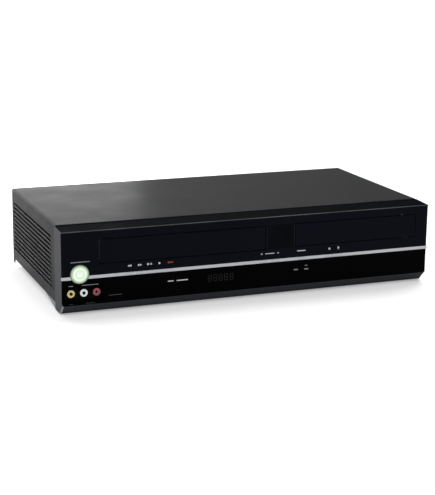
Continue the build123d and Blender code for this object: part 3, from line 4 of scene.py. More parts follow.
import bpy
from mathutils import Matrix, Vector


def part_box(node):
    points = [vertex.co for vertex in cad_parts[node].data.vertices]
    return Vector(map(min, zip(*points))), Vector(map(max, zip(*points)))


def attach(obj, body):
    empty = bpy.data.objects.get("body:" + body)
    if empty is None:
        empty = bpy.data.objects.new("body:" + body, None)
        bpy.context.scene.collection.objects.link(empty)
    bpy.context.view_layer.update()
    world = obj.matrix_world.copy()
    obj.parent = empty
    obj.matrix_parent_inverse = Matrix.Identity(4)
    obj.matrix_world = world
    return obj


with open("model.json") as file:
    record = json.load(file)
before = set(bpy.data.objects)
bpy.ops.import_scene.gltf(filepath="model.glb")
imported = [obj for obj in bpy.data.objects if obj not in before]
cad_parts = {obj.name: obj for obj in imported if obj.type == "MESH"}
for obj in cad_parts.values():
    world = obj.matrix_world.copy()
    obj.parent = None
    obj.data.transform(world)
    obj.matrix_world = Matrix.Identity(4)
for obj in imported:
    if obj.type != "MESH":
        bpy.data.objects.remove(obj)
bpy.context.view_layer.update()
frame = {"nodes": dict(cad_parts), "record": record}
nodes = frame["nodes"]
slotOf = {part["node"]: part["material_slot"] for part in frame["record"]["subparts"]}
mm = 0.001
weld = 0.000002                          # metres: points nearer to each other than this become one
sameDepth = 0.00001                      # metres: an edge flatter than this runs across, not back
print("frame:", len(nodes), "nodes")


def span(node):                          # the lowest and highest corner of a CAD node, in millimetres
    low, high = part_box(node)
    return low / mm, high / mm


def centre(node):
    low, high = span(node)
    return (low + high) / 2


# making and joining meshes

def only(*pieces):
    bpy.ops.object.select_all(action="DESELECT")
    for piece in pieces:
        piece.select_set(True)
    bpy.context.view_layer.objects.active = pieces[0]


def editing(piece, kind, test):          # edit mode, with the faces, edges or points that pass selected
    only(piece)
    bpy.ops.object.mode_set(mode="EDIT")
    bpy.ops.mesh.select_mode(type=kind)
    bpy.ops.mesh.select_all(action="DESELECT")
    bpy.ops.object.mode_set(mode="OBJECT")
    mesh = piece.data
    parts = {"FACE": mesh.polygons, "EDGE": mesh.edges, "VERT": mesh.vertices}[kind]
    for part in parts:
        part.select = test(part)
    bpy.ops.object.mode_set(mode="EDIT")


def doneEditing():
    bpy.ops.mesh.select_all(action="SELECT")
    bpy.ops.mesh.remove_doubles(threshold=weld)
    bpy.ops.mesh.normals_make_consistent(inside=False)
    bpy.ops.object.mode_set(mode="OBJECT")


def added():                             # the object that the last operator made, with its place applied
    piece = bpy.context.object
    only(piece)
    bpy.ops.object.transform_apply(location=True, rotation=True, scale=True)
    return piece


def moved(piece, x=0.0, y=0.0, z=0.0):
    only(piece)
    bpy.ops.transform.translate(value=(x * mm, y * mm, z * mm))
    bpy.ops.object.transform_apply(location=True, rotation=True, scale=True)
    return piece


def copied(piece, x=0.0, y=0.0, z=0.0):
    only(piece)
    bpy.ops.object.duplicate(linked=False)
    return moved(bpy.context.object, x, y, z)


def joined(name, pieces):
    only(*pieces)
    if len(pieces) > 1:
        bpy.ops.object.join()
    piece = bpy.context.object
    piece.name = name
    piece.data.name = name
    return piece


def dressed(piece, material, body):
    piece.data.materials.clear()
    piece.data.materials.append(material)
    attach(piece, body)
    return piece


# materials

class Wire:                              # a value in a material, to which operators add nodes
    def __init__(self, tree, socket):
        self.tree = tree
        self.socket = socket

    def node(self, kind, settings=None, inputs=None, out=0):
        made = self.tree.nodes.new(kind)
        for key, value in (settings or {}).items():
            setattr(made, key, value)
        for key, value in (inputs or {}).items():
            if isinstance(value, Wire):
                self.tree.links.new(value.socket, made.inputs[key])
            else:
                made.inputs[key].default_value = value
        return Wire(self.tree, made.outputs[out])

    def maths(self, operation, *values):
        return self.node("ShaderNodeMath", {"operation": operation}, dict(enumerate(values)))

    def __add__(self, other):
        return self.maths("ADD", self, other)

    def __sub__(self, other):
        return self.maths("SUBTRACT", self, other)

    def __rsub__(self, other):
        return self.maths("SUBTRACT", other, self)

    def __mul__(self, other):
        return self.maths("MULTIPLY", self, other)

    def __pow__(self, other):
        return self.maths("POWER", self, other)

    def __abs__(self):
        return self.maths("ABSOLUTE", self)


def along(place, axis):                  # one coordinate in millimetres
    return place.node("ShaderNodeSeparateXYZ", None, {0: place}, "XYZ".index(axis)) * (1 / mm)


def noise(place, scale, detail=2.0, rough=0.5):
    return place.node("ShaderNodeTexNoise", None, {"Vector": place, "Scale": scale, "Detail": detail,
                                                   "Roughness": rough})


def stretched(place, x, y, z):           # coordinates for a grain that runs one way
    return place.node("ShaderNodeMapping", None, {"Vector": place, "Scale": (x, y, z)})


def ease(value, low, high, start=0.0, end=1.0):
    return value.node("ShaderNodeMapRange", {"interpolation_type": "SMOOTHSTEP"},
                      {0: value, 1: low, 2: high, 3: start, 4: end})


noiseRange = (0.3, 0.7)                  # most of a noise's values lie between these


def spread(noisy, start=0.0, end=1.0):   # a noise as a value from start to end
    return ease(noisy, *noiseRange, start, end)


def near(value, middle, half, soft):     # 1 within half of the middle, and 0 past the soft edge
    return ease(abs(value - middle), half, half + soft, 1.0, 0.0)


def blended(share, first, second):       # two colours, or a colour and a wire
    inputs = {0: share, 6: first, 7: second}
    for key in (6, 7):
        if not isinstance(inputs[key], Wire):
            inputs[key] = (*inputs[key], 1.0)
    return share.node("ShaderNodeMix", {"data_type": "RGBA"}, inputs, 2)


def raised(height, strength, distance):  # distance in millimetres
    return height.node("ShaderNodeBump", None, {"Height": height, "Strength": strength,
                                                "Distance": distance * mm})


def material(name, look, pattern=None):
    made = bpy.data.materials.new(name)
    made.use_nodes = True
    tree = made.node_tree
    shader = tree.nodes["Principled BSDF"]
    for key, value in look.items():
        shader.inputs[key].default_value = (*value, 1.0) if isinstance(value, tuple) else value
    if pattern:
        place = Wire(tree, tree.nodes.new("ShaderNodeTexCoord").outputs["Object"])
        for key, value in pattern(place).items():
            tree.links.new(value.socket, shader.inputs[key])
    return made


def smudges(place, base, swing):         # roughness with faint handling marks and dust
    cloudy = noise(place, 28.0, 3.0, 0.55)
    fine = noise(place, 900.0, 2.0, 0.6)
    return (ease(cloudy, 0.35, 0.75, base, base + swing)
            + ease(fine, 0.66, 0.8, 0.0, swing * 1.5))


coverLow, coverHigh = span("top_cover")
coverLook = {"Specular IOR Level": 0.02}
cover = {"colour": (0.010, 0.0102, 0.0112), "light": (0.014, 0.0143, 0.0155),
         # the rubbed colour is edge wear with a painted highlight, and painted light on the side below the
         # louvres
         "rubbedAndPaintedLight": (0.050, 0.051, 0.055), "speck": (0.030, 0.031, 0.033),
         # the darkest colour is painted shade in the louvre rows, and the small plugs' colour
         "grooveShade": (0.0012, 0.0012, 0.0014), "roughness": 0.36, "grain": 1500.0,
         "grainHeight": 0.05, "cloud": 14.0,
         "plugX": 208.0, "plugY": 101.0, "plugRadius": 1.7, "plugSoft": 0.4}
louvres = {"low": 21.4, "pitch": 5.03, "height": 2.4, "rows": 12, "columns": 3, "bridge": 3.0,
           "frontMargin": 16.5, "rearMargin": 8.0, "soft": 0.3, "endMargin": 2.0, "bandBelow": 1.5}
louvres["front"] = coverLow.y + louvres["frontMargin"]
louvres["back"] = coverHigh.y - louvres["rearMargin"]
louvres["length"] = (louvres["back"] - louvres["front"] - 2 * louvres["bridge"]) / louvres["columns"]
louvres["top"] = louvres["low"] + louvres["pitch"] * (louvres["rows"] - 1) + louvres["height"]


def coverPattern(place):
    x, y, z = (along(place, axis) for axis in "XYZ")
    grain = noise(place, cover["grain"], 2.0, 0.6)
    cloudy = noise(place, cover["cloud"], 3.0, 0.6)
    edge = coverHigh.x
    # the top's side edges and front edge are lighter: edge wear with a painted highlight where the bends
    # catch light
    cornerWearAndHighlight = ease(abs(x), edge - 0.8, edge) * ease(z, coverHigh.z - 1.0, coverHigh.z)
    frontWearAndHighlight = ease(y, coverLow.y, coverLow.y + 1.2, 1.0, 0.0)
    frontWearAndHighlight = frontWearAndHighlight * ease(z, coverHigh.z - 0.8, coverHigh.z - 0.4)
    wearAndHighlight = (cornerWearAndHighlight + frontWearAndHighlight) * ease(cloudy, 0.30, 0.65, 0.35, 1.0)
    # a small dark plug near each rear corner of the top
    plug = place.node("ShaderNodeVectorMath", {"operation": "DISTANCE"},
                      {0: place.node("ShaderNodeCombineXYZ", None, {0: abs(x), 1: y}),
                       1: (cover["plugX"], cover["plugY"], 0.0)}, 1)
    spot = ease(plug, cover["plugRadius"] - cover["plugSoft"],
                cover["plugRadius"] + cover["plugSoft"], 1.0, 0.0)
    spot = spot * ease(z, coverHigh.z - 1.0, coverHigh.z - 0.5)
    # the bridges between the slots are painted dark, as painted shade in the grooves, so that each row
    # looks like one long groove
    row = x.maths("FLOORED_MODULO", z - louvres["low"], louvres["pitch"])
    half = louvres["height"] / 2
    grooveShade = near(row - half, 0.0, half - louvres["soft"], louvres["soft"])
    grooveShade = grooveShade * ease(z, louvres["low"] - 0.1, louvres["low"])
    grooveShade = grooveShade * ease(z, louvres["top"], louvres["top"] + 0.1, 1.0, 0.0)
    start, end = louvres["front"] + louvres["endMargin"], louvres["back"] - louvres["endMargin"]
    grooveShade = grooveShade * ease(y, start, start + 0.2) * ease(y, end - 0.2, end, 1.0, 0.0)
    grooveShade = grooveShade * ease(abs(x), edge - 1, edge - 0.5)
    paint = blended(spread(cloudy), cover["colour"], cover["light"])
    paint = blended(ease(grain, 0.55, 0.75, 0.0, 0.3), paint, cover["speck"])
    # the side below the louvres is painted lighter, as painted light
    paintedLightBelowLouvres = ease(z, louvres["low"] - louvres["bandBelow"], louvres["low"] - 0.8, 1.0, 0.0)
    paint = blended(wearAndHighlight * 0.7 + paintedLightBelowLouvres * 0.6, paint, cover["rubbedAndPaintedLight"])
    # painted groove shade, and the small dark plugs in the same colour
    paint = blended(grooveShade.maths("MAXIMUM", grooveShade, spot), paint, cover["grooveShade"])
    rough = spread(cloudy, cover["roughness"] - 0.03, cover["roughness"] + 0.05) + grooveShade * 0.4
    return {"Base Color": paint, "Roughness": rough,
            "Normal": raised(grain - spot * 3, 0.35, cover["grainHeight"])}


glossLook = {"Specular IOR Level": 0.03, "Coat Weight": 0.05, "Coat Roughness": 0.03, "Coat IOR": 1.2}
gloss = {"colour": (0.0010, 0.0014, 0.0034), "sheen": (0.0020, 0.0027, 0.0060), "roughness": 0.07}


def glossPattern(place):
    drift = noise(place, 5.0, 2.0, 0.5)
    ripple = noise(place, 60.0, 2.0, 0.4)
    return {"Base Color": blended(spread(drift), gloss["colour"], gloss["sheen"]),
            "Roughness": smudges(place, gloss["roughness"], 0.05),
            "Normal": raised(ripple, 0.06, 0.05)}


windowLook = {"Specular IOR Level": 0.008, "Coat Weight": 0.02, "Coat Roughness": 0.02, "Coat IOR": 1.2}
window = {"colour": (0.0006, 0.0006, 0.0008), "haze": (0.0012, 0.0012, 0.0016), "roughness": 0.05}


def windowPattern(place):
    drift = noise(place, 7.0, 2.0, 0.5)
    return {"Base Color": blended(ease(drift, 0.35, 0.7), window["colour"], window["haze"]),
            "Roughness": smudges(place, window["roughness"], 0.04),
            "Normal": raised(noise(place, 50.0, 2.0, 0.4), 0.05, 0.05)}


bezelLow, bezelHigh = span("front_bezel")
bezelLook = {"Specular IOR Level": 0.001}
# the lighter tones here are painted: edge wear with painted highlights, painted light on the sides and
# lip, and painted highlights on the rim and lower corners
bezel = {"colour": (0.0028, 0.0031, 0.0042), "wornAndHighlight": (0.045, 0.046, 0.05), "roughness": 0.16,
         "side": (0.100, 0.101, 0.108), "lip": (0.044, 0.047, 0.053), "rim": (0.100, 0.103, 0.110),
         "corner": (0.40, 0.405, 0.42), "lipTop": 13.0, "lipDepth": 16}


def bezelPattern(place):
    x, y, z = (along(place, axis) for axis in "XYZ")
    grain = noise(place, 1100.0, 2.0, 0.55)
    cloudy = noise(place, 20.0, 3.0, 0.55)
    edge, front = bezelHigh.x, bezelLow.y
    # the front corners and the lip's lower edge are lighter: edge wear with a painted highlight where they
    # catch light
    cornerWearAndHighlight = ease(abs(x), edge - 0.5, edge - 0.1) * ease(y, front + 0.4, front + 1.0, 1.0, 0.0)
    lipWearAndHighlight = ease(z, bezelLow.z + 0.6, bezelLow.z + 1.3, 1.0, 0.0)
    lipWearAndHighlight = lipWearAndHighlight * ease(y, front + bezel["lipDepth"], front + bezel["lipDepth"] + 2, 1.0, 0.0)
    # a painted highlight along the rounded top front edge
    rim = ease(y, front + 0.2, front + 0.7, 1.0, 0.0) * ease(z, bezelHigh.z - 2.4, bezelHigh.z - 1.6)
    wearAndHighlight = (cornerWearAndHighlight + lipWearAndHighlight) * ease(cloudy, 0.35, 0.6, 0.2, 1.0)
    # the rougher sides and the lower lip are painted lighter than the black front, as painted light
    side = ease(abs(x), edge - 0.6, edge - 0.2)
    low = ease(z, bezel["lipTop"], bezel["lipTop"] + 1, 1.0, 0.0)
    skin = blended(side, blended(low, bezel["colour"], bezel["lip"]), bezel["side"])
    skin = blended(rim * spread(cloudy, 0.5, 1.0), skin, bezel["rim"])
    # a painted highlight on the lower chamfered corners
    corner = ease(abs(x), edge - 2.1, edge - 1.9) * ease(abs(x), edge - 0.5, edge - 0.3, 1.0, 0.0) * low
    skin = blended(corner * 0.7, skin, bezel["corner"])
    return {"Base Color": blended(wearAndHighlight * 0.6, skin, bezel["wornAndHighlight"]),
            "Roughness": spread(cloudy, bezel["roughness"], bezel["roughness"] + 0.08)
            + side * 0.16,
            "Normal": raised(grain, 0.25, 0.03)}


trimLook = {"Metallic": 0.85}
trim = {"dark": (0.36, 0.37, 0.40), "light": (0.56, 0.57, 0.60), "roughness": 0.30}


def trimPattern(place):
    brushed = noise(stretched(place, 4.0, 900.0, 900.0), 3.0, 3.0, 0.6)
    drift = noise(place, 9.0, 2.0, 0.5)
    return {"Base Color": blended(brushed * 0.6 + drift * 0.4, trim["dark"], trim["light"]),
            "Roughness": spread(brushed, trim["roughness"] - 0.06, trim["roughness"] + 0.08),
            "Normal": raised(brushed, 0.2, 0.02)}


button = centre("power_button")
power = {"radius": 10.2, "glow": 0.42, "ring": 4.3, "line": 0.5, "middle": (0.62, 0.71, 0.60),
         "rim": (0.24, 0.36, 0.20), "edge": (0.10, 0.13, 0.09), "symbol": (0.26, 0.40, 0.22),
         "barrel": (0.20, 0.22, 0.19), "gap": 1.3, "strokeUp": 3.4, "strokeHalf": 2.2, "share": 0.40,
         "faceFrom": -115.9, "faceTo": -115.5}
powerLook = {"Emission Strength": power["glow"], "Specular IOR Level": 0.5, "Coat Weight": 0.6,
             "Coat Roughness": 0.05}


def powerPattern(place):
    across = along(place, "X") - button.x
    up = along(place, "Z") - button.z
    away = (across * across + up * up) ** 0.5
    cloudy = noise(place, 190.0, 2.0, 0.5)
    rim = ease(away + cloudy * 2 - 1, power["radius"] * 0.60, power["radius"] * 0.92)
    edge = ease(away, power["radius"] * 0.88, power["radius"] * 0.98)
    face = blended(edge, blended(rim, power["middle"], power["rim"]), power["edge"])
    gap = near(across, 0.0, power["gap"], 0.2) * ease(up, 0.0, 0.2)
    ring = near(away - power["ring"], 0.0, power["line"], 0.2) * (1 - gap)
    stroke = near(across, 0.0, power["line"], 0.2)
    stroke = stroke * near(up - power["strokeUp"], 0.0, power["strokeHalf"], 0.2)
    symbol = (ring + stroke) * power["share"]
    front = ease(along(place, "Y"), power["faceFrom"], power["faceTo"], 1.0, 0.0)
    lit = blended(symbol, face, power["symbol"])
    return {"Base Color": blended(front, power["barrel"], lit),
            "Emission Color": blended(front, (0.0, 0.0, 0.0), lit),
            "Roughness": spread(cloudy, 0.16, 0.24)}


def plasticPattern(light, dark, rough, grain=900.0, depth=0.02):
    def pattern(place):
        cloudy = noise(place, 40.0, 3.0, 0.55)
        fine = noise(place, grain, 2.0, 0.55)
        return {"Base Color": blended(spread(cloudy), light, dark),
                "Roughness": spread(cloudy, rough, rough + 0.08),
                "Normal": raised(fine, 0.25, depth)}
    return pattern


def metalPattern(light, dark, rough, lengths=(1.0, 1.0, 1.0)):   # rolled or turned steel
    def pattern(place):
        rolled = noise(stretched(place, *lengths), 240.0, 3.0, 0.6)
        stains = noise(place, 22.0, 4.0, 0.6)
        return {"Base Color": blended(spread(stains), light, dark),
                "Roughness": spread(rolled, rough - 0.05, rough + 0.1),
                "Normal": raised(rolled, 0.15, 0.02)}
    return pattern


rearLow = span("rear_jacks")[0]
sockets = {"radius": 4.15, "pitch": 14.0, "rowPitch": 16.0, "rows": 2, "bore": 1.7, "rim": 3.3,
           "colours": [(0.62, 0.42, 0.03), (0.72, 0.72, 0.70), (0.42, 0.02, 0.02), (0.03, 0.28, 0.06),
                       (0.03, 0.08, 0.42)],
           "nickel": (0.55, 0.54, 0.50), "dark": (0.01, 0.01, 0.01)}
sockets["left"] = rearLow.x + sockets["radius"]
sockets["low"] = rearLow.z + sockets["radius"]


def rearSocketPattern(place):            # each column has its own coloured insert in a nickel sleeve
    x, z = along(place, "X"), along(place, "Z")
    colour = sockets["colours"][0]
    for column, tone in enumerate(sockets["colours"]):
        beyond = sockets["left"] + (column - 0.5) * sockets["pitch"]
        colour = blended(ease(x, beyond - 0.1, beyond + 0.1), colour, tone)
    across = x.maths("PINGPONG", x - sockets["left"], sockets["pitch"] / 2)
    up = x.maths("PINGPONG", z - sockets["low"], sockets["rowPitch"] / 2)
    away = (across * across + up * up) ** 0.5
    sleeve = ease(away, sockets["rim"] - 0.1, sockets["rim"] + 0.1)
    # the bore is painted dark, as painted shade in the hole
    bore = ease(away, sockets["bore"] - 0.1, sockets["bore"] + 0.1, 1.0, 0.0)
    tint = blended(bore, blended(sleeve, colour, sockets["nickel"]), sockets["dark"])
    scratches = noise(stretched(place, 300.0, 4.0, 300.0), 2.0, 2.0, 0.5)
    return {"Base Color": tint, "Metallic": sleeve,
            "Roughness": spread(scratches, 0.24, 0.36)}


aerial = {"x": 35.0, "low": 34.0, "pitch": 18.0, "count": 2, "cup": 2.6, "cupHalf": 0.9, "hole": 1.0,
          "mouthFrom": 116.6, "mouthTo": 116.9, "threadFrom": 109.0, "threadTurns": 7.4,
          "tin": (0.52, 0.52, 0.50), "dullTin": (0.38, 0.38, 0.37), "insert": (0.72, 0.71, 0.66)}


def tunerPattern(place):                 # a soldered screening can with two threaded aerial sockets
    x, y, z = (along(place, axis) for axis in "XYZ")
    across = x - aerial["x"]
    up = x.maths("PINGPONG", z - aerial["low"], aerial["pitch"] / 2)
    away = (across * across + up * up) ** 0.5
    mouth = ease(y, aerial["mouthFrom"], aerial["mouthTo"])
    cup = near(away - aerial["cup"], 0.0, aerial["cupHalf"], 0.1) * mouth
    # the centre holes are painted dark, as painted shade
    hole = ease(away, aerial["hole"] - 0.05, aerial["hole"] + 0.05, 1.0, 0.0) * mouth
    thread = x.maths("SINE", y * aerial["threadTurns"])
    thread = thread * ease(y, aerial["threadFrom"], aerial["threadFrom"] + 0.4)
    stains = noise(place, 40.0, 3.0, 0.6)
    tin = blended(spread(stains), aerial["tin"], aerial["dullTin"])
    tin = blended(cup, tin, aerial["insert"])
    return {"Base Color": blended(hole, tin, (0.01, 0.01, 0.01)),
            "Metallic": 1 - cup,
            "Roughness": spread(stains, 0.28, 0.42),
            "Normal": raised(thread, 0.6, 0.12)}


board = {"mask": (0.012, 0.075, 0.030), "track": (0.022, 0.14, 0.055), "pad": (0.52, 0.50, 0.44),
         "part": (0.012, 0.012, 0.014), "dusty": (0.03, 0.03, 0.034), "can": (0.04, 0.06, 0.16),
         "topOfMain": 17.75, "bare": 500.0}


def boardPattern(copper, fitted):        # fitted: the height in millimetres at which its parts begin
    def pattern(place):
        level = along(place, "Z") if copper == "flat" else along(place, "Y")
        tracks = noise(stretched(place, 160.0, 700.0, 160.0), 1.0, 1.0, 0.4)
        lines = ease(abs(tracks - 0.5), 0.015, 0.03, 1.0, 0.0)
        cells = place.node("ShaderNodeTexVoronoi", {"feature": "F1"}, {"Vector": place, "Scale": 210.0})
        pads = ease(cells, 0.16, 0.2, 1.0, 0.0)
        mask = blended(lines * 0.6, board["mask"], board["track"])
        mask = blended(pads, mask, board["pad"])
        kinds = place.node("ShaderNodeTexVoronoi", {"feature": "F1"},
                           {"Vector": place, "Scale": 60.0}, 1)
        dark = blended(ease(cells, 0.2, 0.6), board["part"], board["dusty"])
        parts = blended(ease(along(kinds, "X"), 500.0, 640.0) * 0.5, dark, board["can"])
        above = ease(level, fitted, fitted + 0.2)
        return {"Base Color": blended(above, mask, parts),
                "Roughness": ease(pads, 0.0, 1.0, 0.42, 0.28),
                "Normal": raised(lines + pads, 0.4, 0.04)}
    return pattern


display = {"comb": 12, "glass": (0.010, 0.016, 0.017), "wires": (0.028, 0.042, 0.042)}


def displayPattern(place):
    comb = along(place, "X").maths("SINE", along(place, "X") * display["comb"])
    haze = noise(place, 60.0, 2.0, 0.5)
    face = blended(ease(comb, 0.0, 1.0) * 0.4, display["glass"], display["wires"])
    return {"Base Color": face, "Roughness": spread(haze, 0.08, 0.16)}


drum = {"x": centre("drum_rotor").x, "y": 71.0, "rings": 9, "dull": (0.60, 0.61, 0.63),
        "bright": (0.78, 0.79, 0.81)}


def drumPattern(place):                  # turned aluminium, with rings about the tilted axis
    x, y = along(place, "X") - drum["x"], along(place, "Y") - drum["y"]
    away = (x * x + y * y) ** 0.5
    turned = noise(stretched(place, 30.0, 30.0, 1600.0), 2.0, 2.0, 0.5)
    rings = away.maths("SINE", away * drum["rings"])
    return {"Base Color": blended(ease(rings + turned, 0.0, 1.6), drum["dull"], drum["bright"]),
            "Roughness": spread(turned, 0.18, 0.32),
            "Normal": raised(rings, 0.12, 0.02)}


disc = centre("turntable")
tray = {"outerRing": 52, "innerRing": 30, "line": 0.25, "soft": 0.12, "dark": (0.020, 0.021, 0.023),
        "light": (0.030, 0.031, 0.034)}


def trayPattern(place):
    x, y = along(place, "X") - disc.x, along(place, "Y") - disc.y
    away = (x * x + y * y) ** 0.5
    rings = (near(away - tray["outerRing"], 0.0, tray["line"], tray["soft"])
             + near(away - tray["innerRing"], 0.0, tray["line"], tray["soft"]))
    cloudy = noise(place, 30.0, 3.0, 0.5)
    fine = noise(place, 1400.0, 2.0, 0.6)
    return {"Base Color": blended(spread(cloudy), tray["dark"], tray["light"]),
            "Roughness": spread(cloudy, 0.42, 0.52),
            "Normal": raised(fine - rings * 4, 0.35, 0.04)}


def rubberPattern(place):
    specks = noise(place, 1300.0, 2.0, 0.7)
    dust = noise(place, 50.0, 4.0, 0.6)
    return {"Base Color": blended(ease(dust, 0.45, 0.8), (0.012, 0.012, 0.012), (0.05, 0.048, 0.045)),
            "Roughness": spread(dust, 0.72, 0.9),
            "Normal": raised(specks, 0.5, 0.06)}


jackPlaces = [centre(name) for name in ("video_jack", "left_audio_jack", "right_audio_jack")]
jacks = {"pitch": jackPlaces[1].x - jackPlaces[0].x, "face": span("video_jack")[0].y, "bore": 1.95,
         "barrel": (0.006, 0.006, 0.007)}


def jackPattern(light, dark):            # a moulded ring round a dark bore, on a black barrel
    def pattern(place):
        x = along(place, "X").maths("PINGPONG", along(place, "X") - jackPlaces[0].x, jacks["pitch"] / 2)
        up = along(place, "Z") - jackPlaces[0].z
        away = (x * x + up * up) ** 0.5
        cloudy = noise(place, 260.0, 2.0, 0.5)
        skin = blended(spread(cloudy), light, dark)
        barrel = ease(along(place, "Y"), jacks["face"] + 0.35, jacks["face"] + 0.6)
        # the bore is painted dark, as painted shade in and round the hole
        bore = ease(away, jacks["bore"] - 0.1, jacks["bore"] + 0.1, 1.0, 0.0)
        return {"Base Color": blended(bore.maths("MAXIMUM", bore, barrel), skin, jacks["barrel"]),
                "Roughness": spread(cloudy, 0.22, 0.32)}
    return pattern


finishes = {
    "cover_paint": material("coverPaint", coverLook, coverPattern),
    "gloss_black": material("glossBlack", glossLook, glossPattern),
    "smoked_window": material("smokedWindow", windowLook, windowPattern),
    "bezel_black": material("bezelBlack", bezelLook, bezelPattern),
    "trim_silver": material("trimSilver", trimLook, trimPattern),
    "lit_button": material("litButton", powerLook, powerPattern),
    "jack_yellow": material("jackYellow", {}, jackPattern((0.64, 0.54, 0.24), (0.52, 0.42, 0.15))),
    "jack_white": material("jackWhite", {}, jackPattern((0.82, 0.82, 0.80), (0.70, 0.70, 0.68))),
    "jack_red": material("jackRed", {}, jackPattern((0.36, 0.08, 0.11), (0.24, 0.03, 0.05))),
    "black_plastic": material("blackPlastic", {"Specular IOR Level": 0.35},
                              plasticPattern((0.014, 0.014, 0.015), (0.022, 0.022, 0.024), 0.42)),
    "tray_plastic": material("trayPlastic", {"Specular IOR Level": 0.35}, trayPattern),
    "white_plastic": material("whitePlastic", {},
                              plasticPattern((0.66, 0.65, 0.61), (0.58, 0.57, 0.53), 0.38)),
    "board": material("board", {}, boardPattern("flat", board["topOfMain"])),
    "display_glass": material("displayGlass", {"Coat Weight": 0.8, "Coat Roughness": 0.03},
                              displayPattern),
    "zinc_steel": material("zincSteel", {"Metallic": 1.0},
                           metalPattern((0.46, 0.47, 0.48), (0.36, 0.37, 0.39), 0.40, (1.0, 0.08, 1.0))),
    "bright_steel": material("brightSteel", {"Metallic": 1.0},
                             metalPattern((0.66, 0.66, 0.67), (0.56, 0.56, 0.58), 0.22)),
    "panel_paint": material("panelPaint", {"Specular IOR Level": 0.4},
                            plasticPattern((0.022, 0.0225, 0.024), (0.030, 0.0305, 0.033),
                                           0.45, 1500.0, 0.05)),
    "screw_black": material("screwBlack", {"Metallic": 0.7},
                            plasticPattern((0.05, 0.05, 0.055), (0.08, 0.08, 0.085), 0.35)),
    "rear_jack_plastic": material("rearSockets", {}, rearSocketPattern),
    "foot_rubber": material("footRubber", {"Specular IOR Level": 0.3}, rubberPattern),
    "belt_rubber": material("beltRubber", {"Specular IOR Level": 0.3}, rubberPattern),
    "drum_aluminium": material("drumAluminium", {"Metallic": 1.0}, drumPattern),
}
special = {
    "tuner_module": material("tunerCan", {}, tunerPattern),
    "front_board": material("frontBoard", {}, boardPattern("upright", board["bare"])),
    "front_jack_block": material("pocketBlack", {"Specular IOR Level": 0.05},
                                 plasticPattern((0.0015, 0.0015, 0.0018), (0.0025, 0.0025, 0.003), 0.5)),
}
for name, node in nodes.items():
    node.material_slots[0].material = special.get(name) or finishes[slotOf[name]]
print("materials:", len(finishes) + len(special))


# printed marks on the front, and the fittings too small for the CAD

face, glass = span("upper_fascia")[0].y, span("lower_window")[0].y
doorHigh = span("cassette_door")[1]
trayLow, trayHigh = span("tray_front")
yellow, white, red = jackPlaces
marks = {"proud": 0.06, "row": 50.6, "arrow": 1.5, "line": 0.42, "rounding": 0.12, "dotSides": 20,
         "dotRounding": 0.02, "pair": 1.1, "apart": 1.8, "square": 2.2, "discSquare": 2.3, "large": 1.1,
         "small": 0.8, "corner": 0.3, "underSockets": 13.6, "overSockets": 33.5, "overPower": 59.1,
         "discDrop": 0.4, "discRise": 0.2, "trayLine": 2.4, "trayLineDrop": 1.4, "sourceRise": 0.2,
         "channelUpAside": 3.0, "channelAside": 0.6, "powerAside": 0.7, "dotAside": 1.6, "dotRadius": 1.1}
# width and height of the bars that stand for lettering by a key, the button or a socket
words = {"channel": (11.0, 0.8), "source": (10.5, 0.9), "record": (3.6, 1.2), "power": (21.0, 0.8),
         "video": (5.0, 0.7), "audio": (18.0, 0.7), "videoLow": (4.0, 0.5), "audioLow": (10.0, 0.5)}
# x, z, width and height of the bars that stand for lettering on the window
captions = {"white": [(-96.6, 29.4, 6.5, 1.1), (-83.4, 29.4, 13.0, 1.1)],
            "grey": [(51.6, 29.3, 5.0, 1.3), (64.4, 29.0, 5.0, 1.4), (64.0, 33.2, 3.0, 0.8)],
            "faint": [(-159.0, 20.0, 15.0, 0.7)]}


def ink(name, light, dark):
    return material(name, {"Specular IOR Level": 0.2}, plasticPattern(light, dark, 0.5))


whiteInk = ink("whiteInk", (0.62, 0.63, 0.66), (0.50, 0.51, 0.54))
redInk = ink("redInk", (0.42, 0.07, 0.07), (0.30, 0.04, 0.04))
greyInk = ink("greyInk", (0.24, 0.245, 0.26), (0.18, 0.185, 0.20))
faintInk = ink("faintInk", (0.055, 0.057, 0.062), (0.040, 0.041, 0.045))
plateLineColour = ink("plateLineColour", (0.011, 0.014, 0.015), (0.008, 0.010, 0.011))
unlitInk = ink("unlitInk", (0.0075, 0.0090, 0.0098), (0.0050, 0.0062, 0.0070))


def softened(piece, width):              # rounds the edges that run front to back
    editing(piece, "EDGE", lambda edge: abs(piece.data.vertices[edge.vertices[0]].co.y
                                            - piece.data.vertices[edge.vertices[1]].co.y) > sameDepth)
    bpy.ops.mesh.bevel(offset=width * mm, segments=2)
    doneEditing()
    return piece


def block(low, high, rounding, segments=2):          # a box with every edge rounded
    size = [(high[i] - low[i]) for i in range(3)]
    middle = [(high[i] + low[i]) / 2 * mm for i in range(3)]
    bpy.ops.mesh.primitive_cube_add(size=mm, location=middle, scale=size)
    piece = added()
    editing(piece, "EDGE", lambda edge: True)
    bpy.ops.mesh.bevel(offset=rounding * mm, segments=segments)
    doneEditing()
    return piece


def bar(x, z, width, height, face):
    bpy.ops.mesh.primitive_cube_add(size=mm, location=(x * mm, (face - marks["proud"] / 2) * mm, z * mm),
                                    scale=(width, marks["proud"], height))
    return softened(added(), min(width, height) * marks["corner"])


def arrow(x, z, size, turn, face):       # turn 0 points right, 90 up
    bpy.ops.mesh.primitive_cylinder_add(vertices=3, radius=size * mm, depth=marks["proud"] * mm,
                                        rotation=(radians(90), 0.0, 0.0))
    piece = added()
    piece.rotation_euler = (0.0, radians(90 - turn), 0.0)
    only(piece)
    bpy.ops.object.transform_apply(location=False, rotation=True, scale=False)
    softened(piece, marks["rounding"])
    return moved(piece, x, face - marks["proud"] / 2, z)


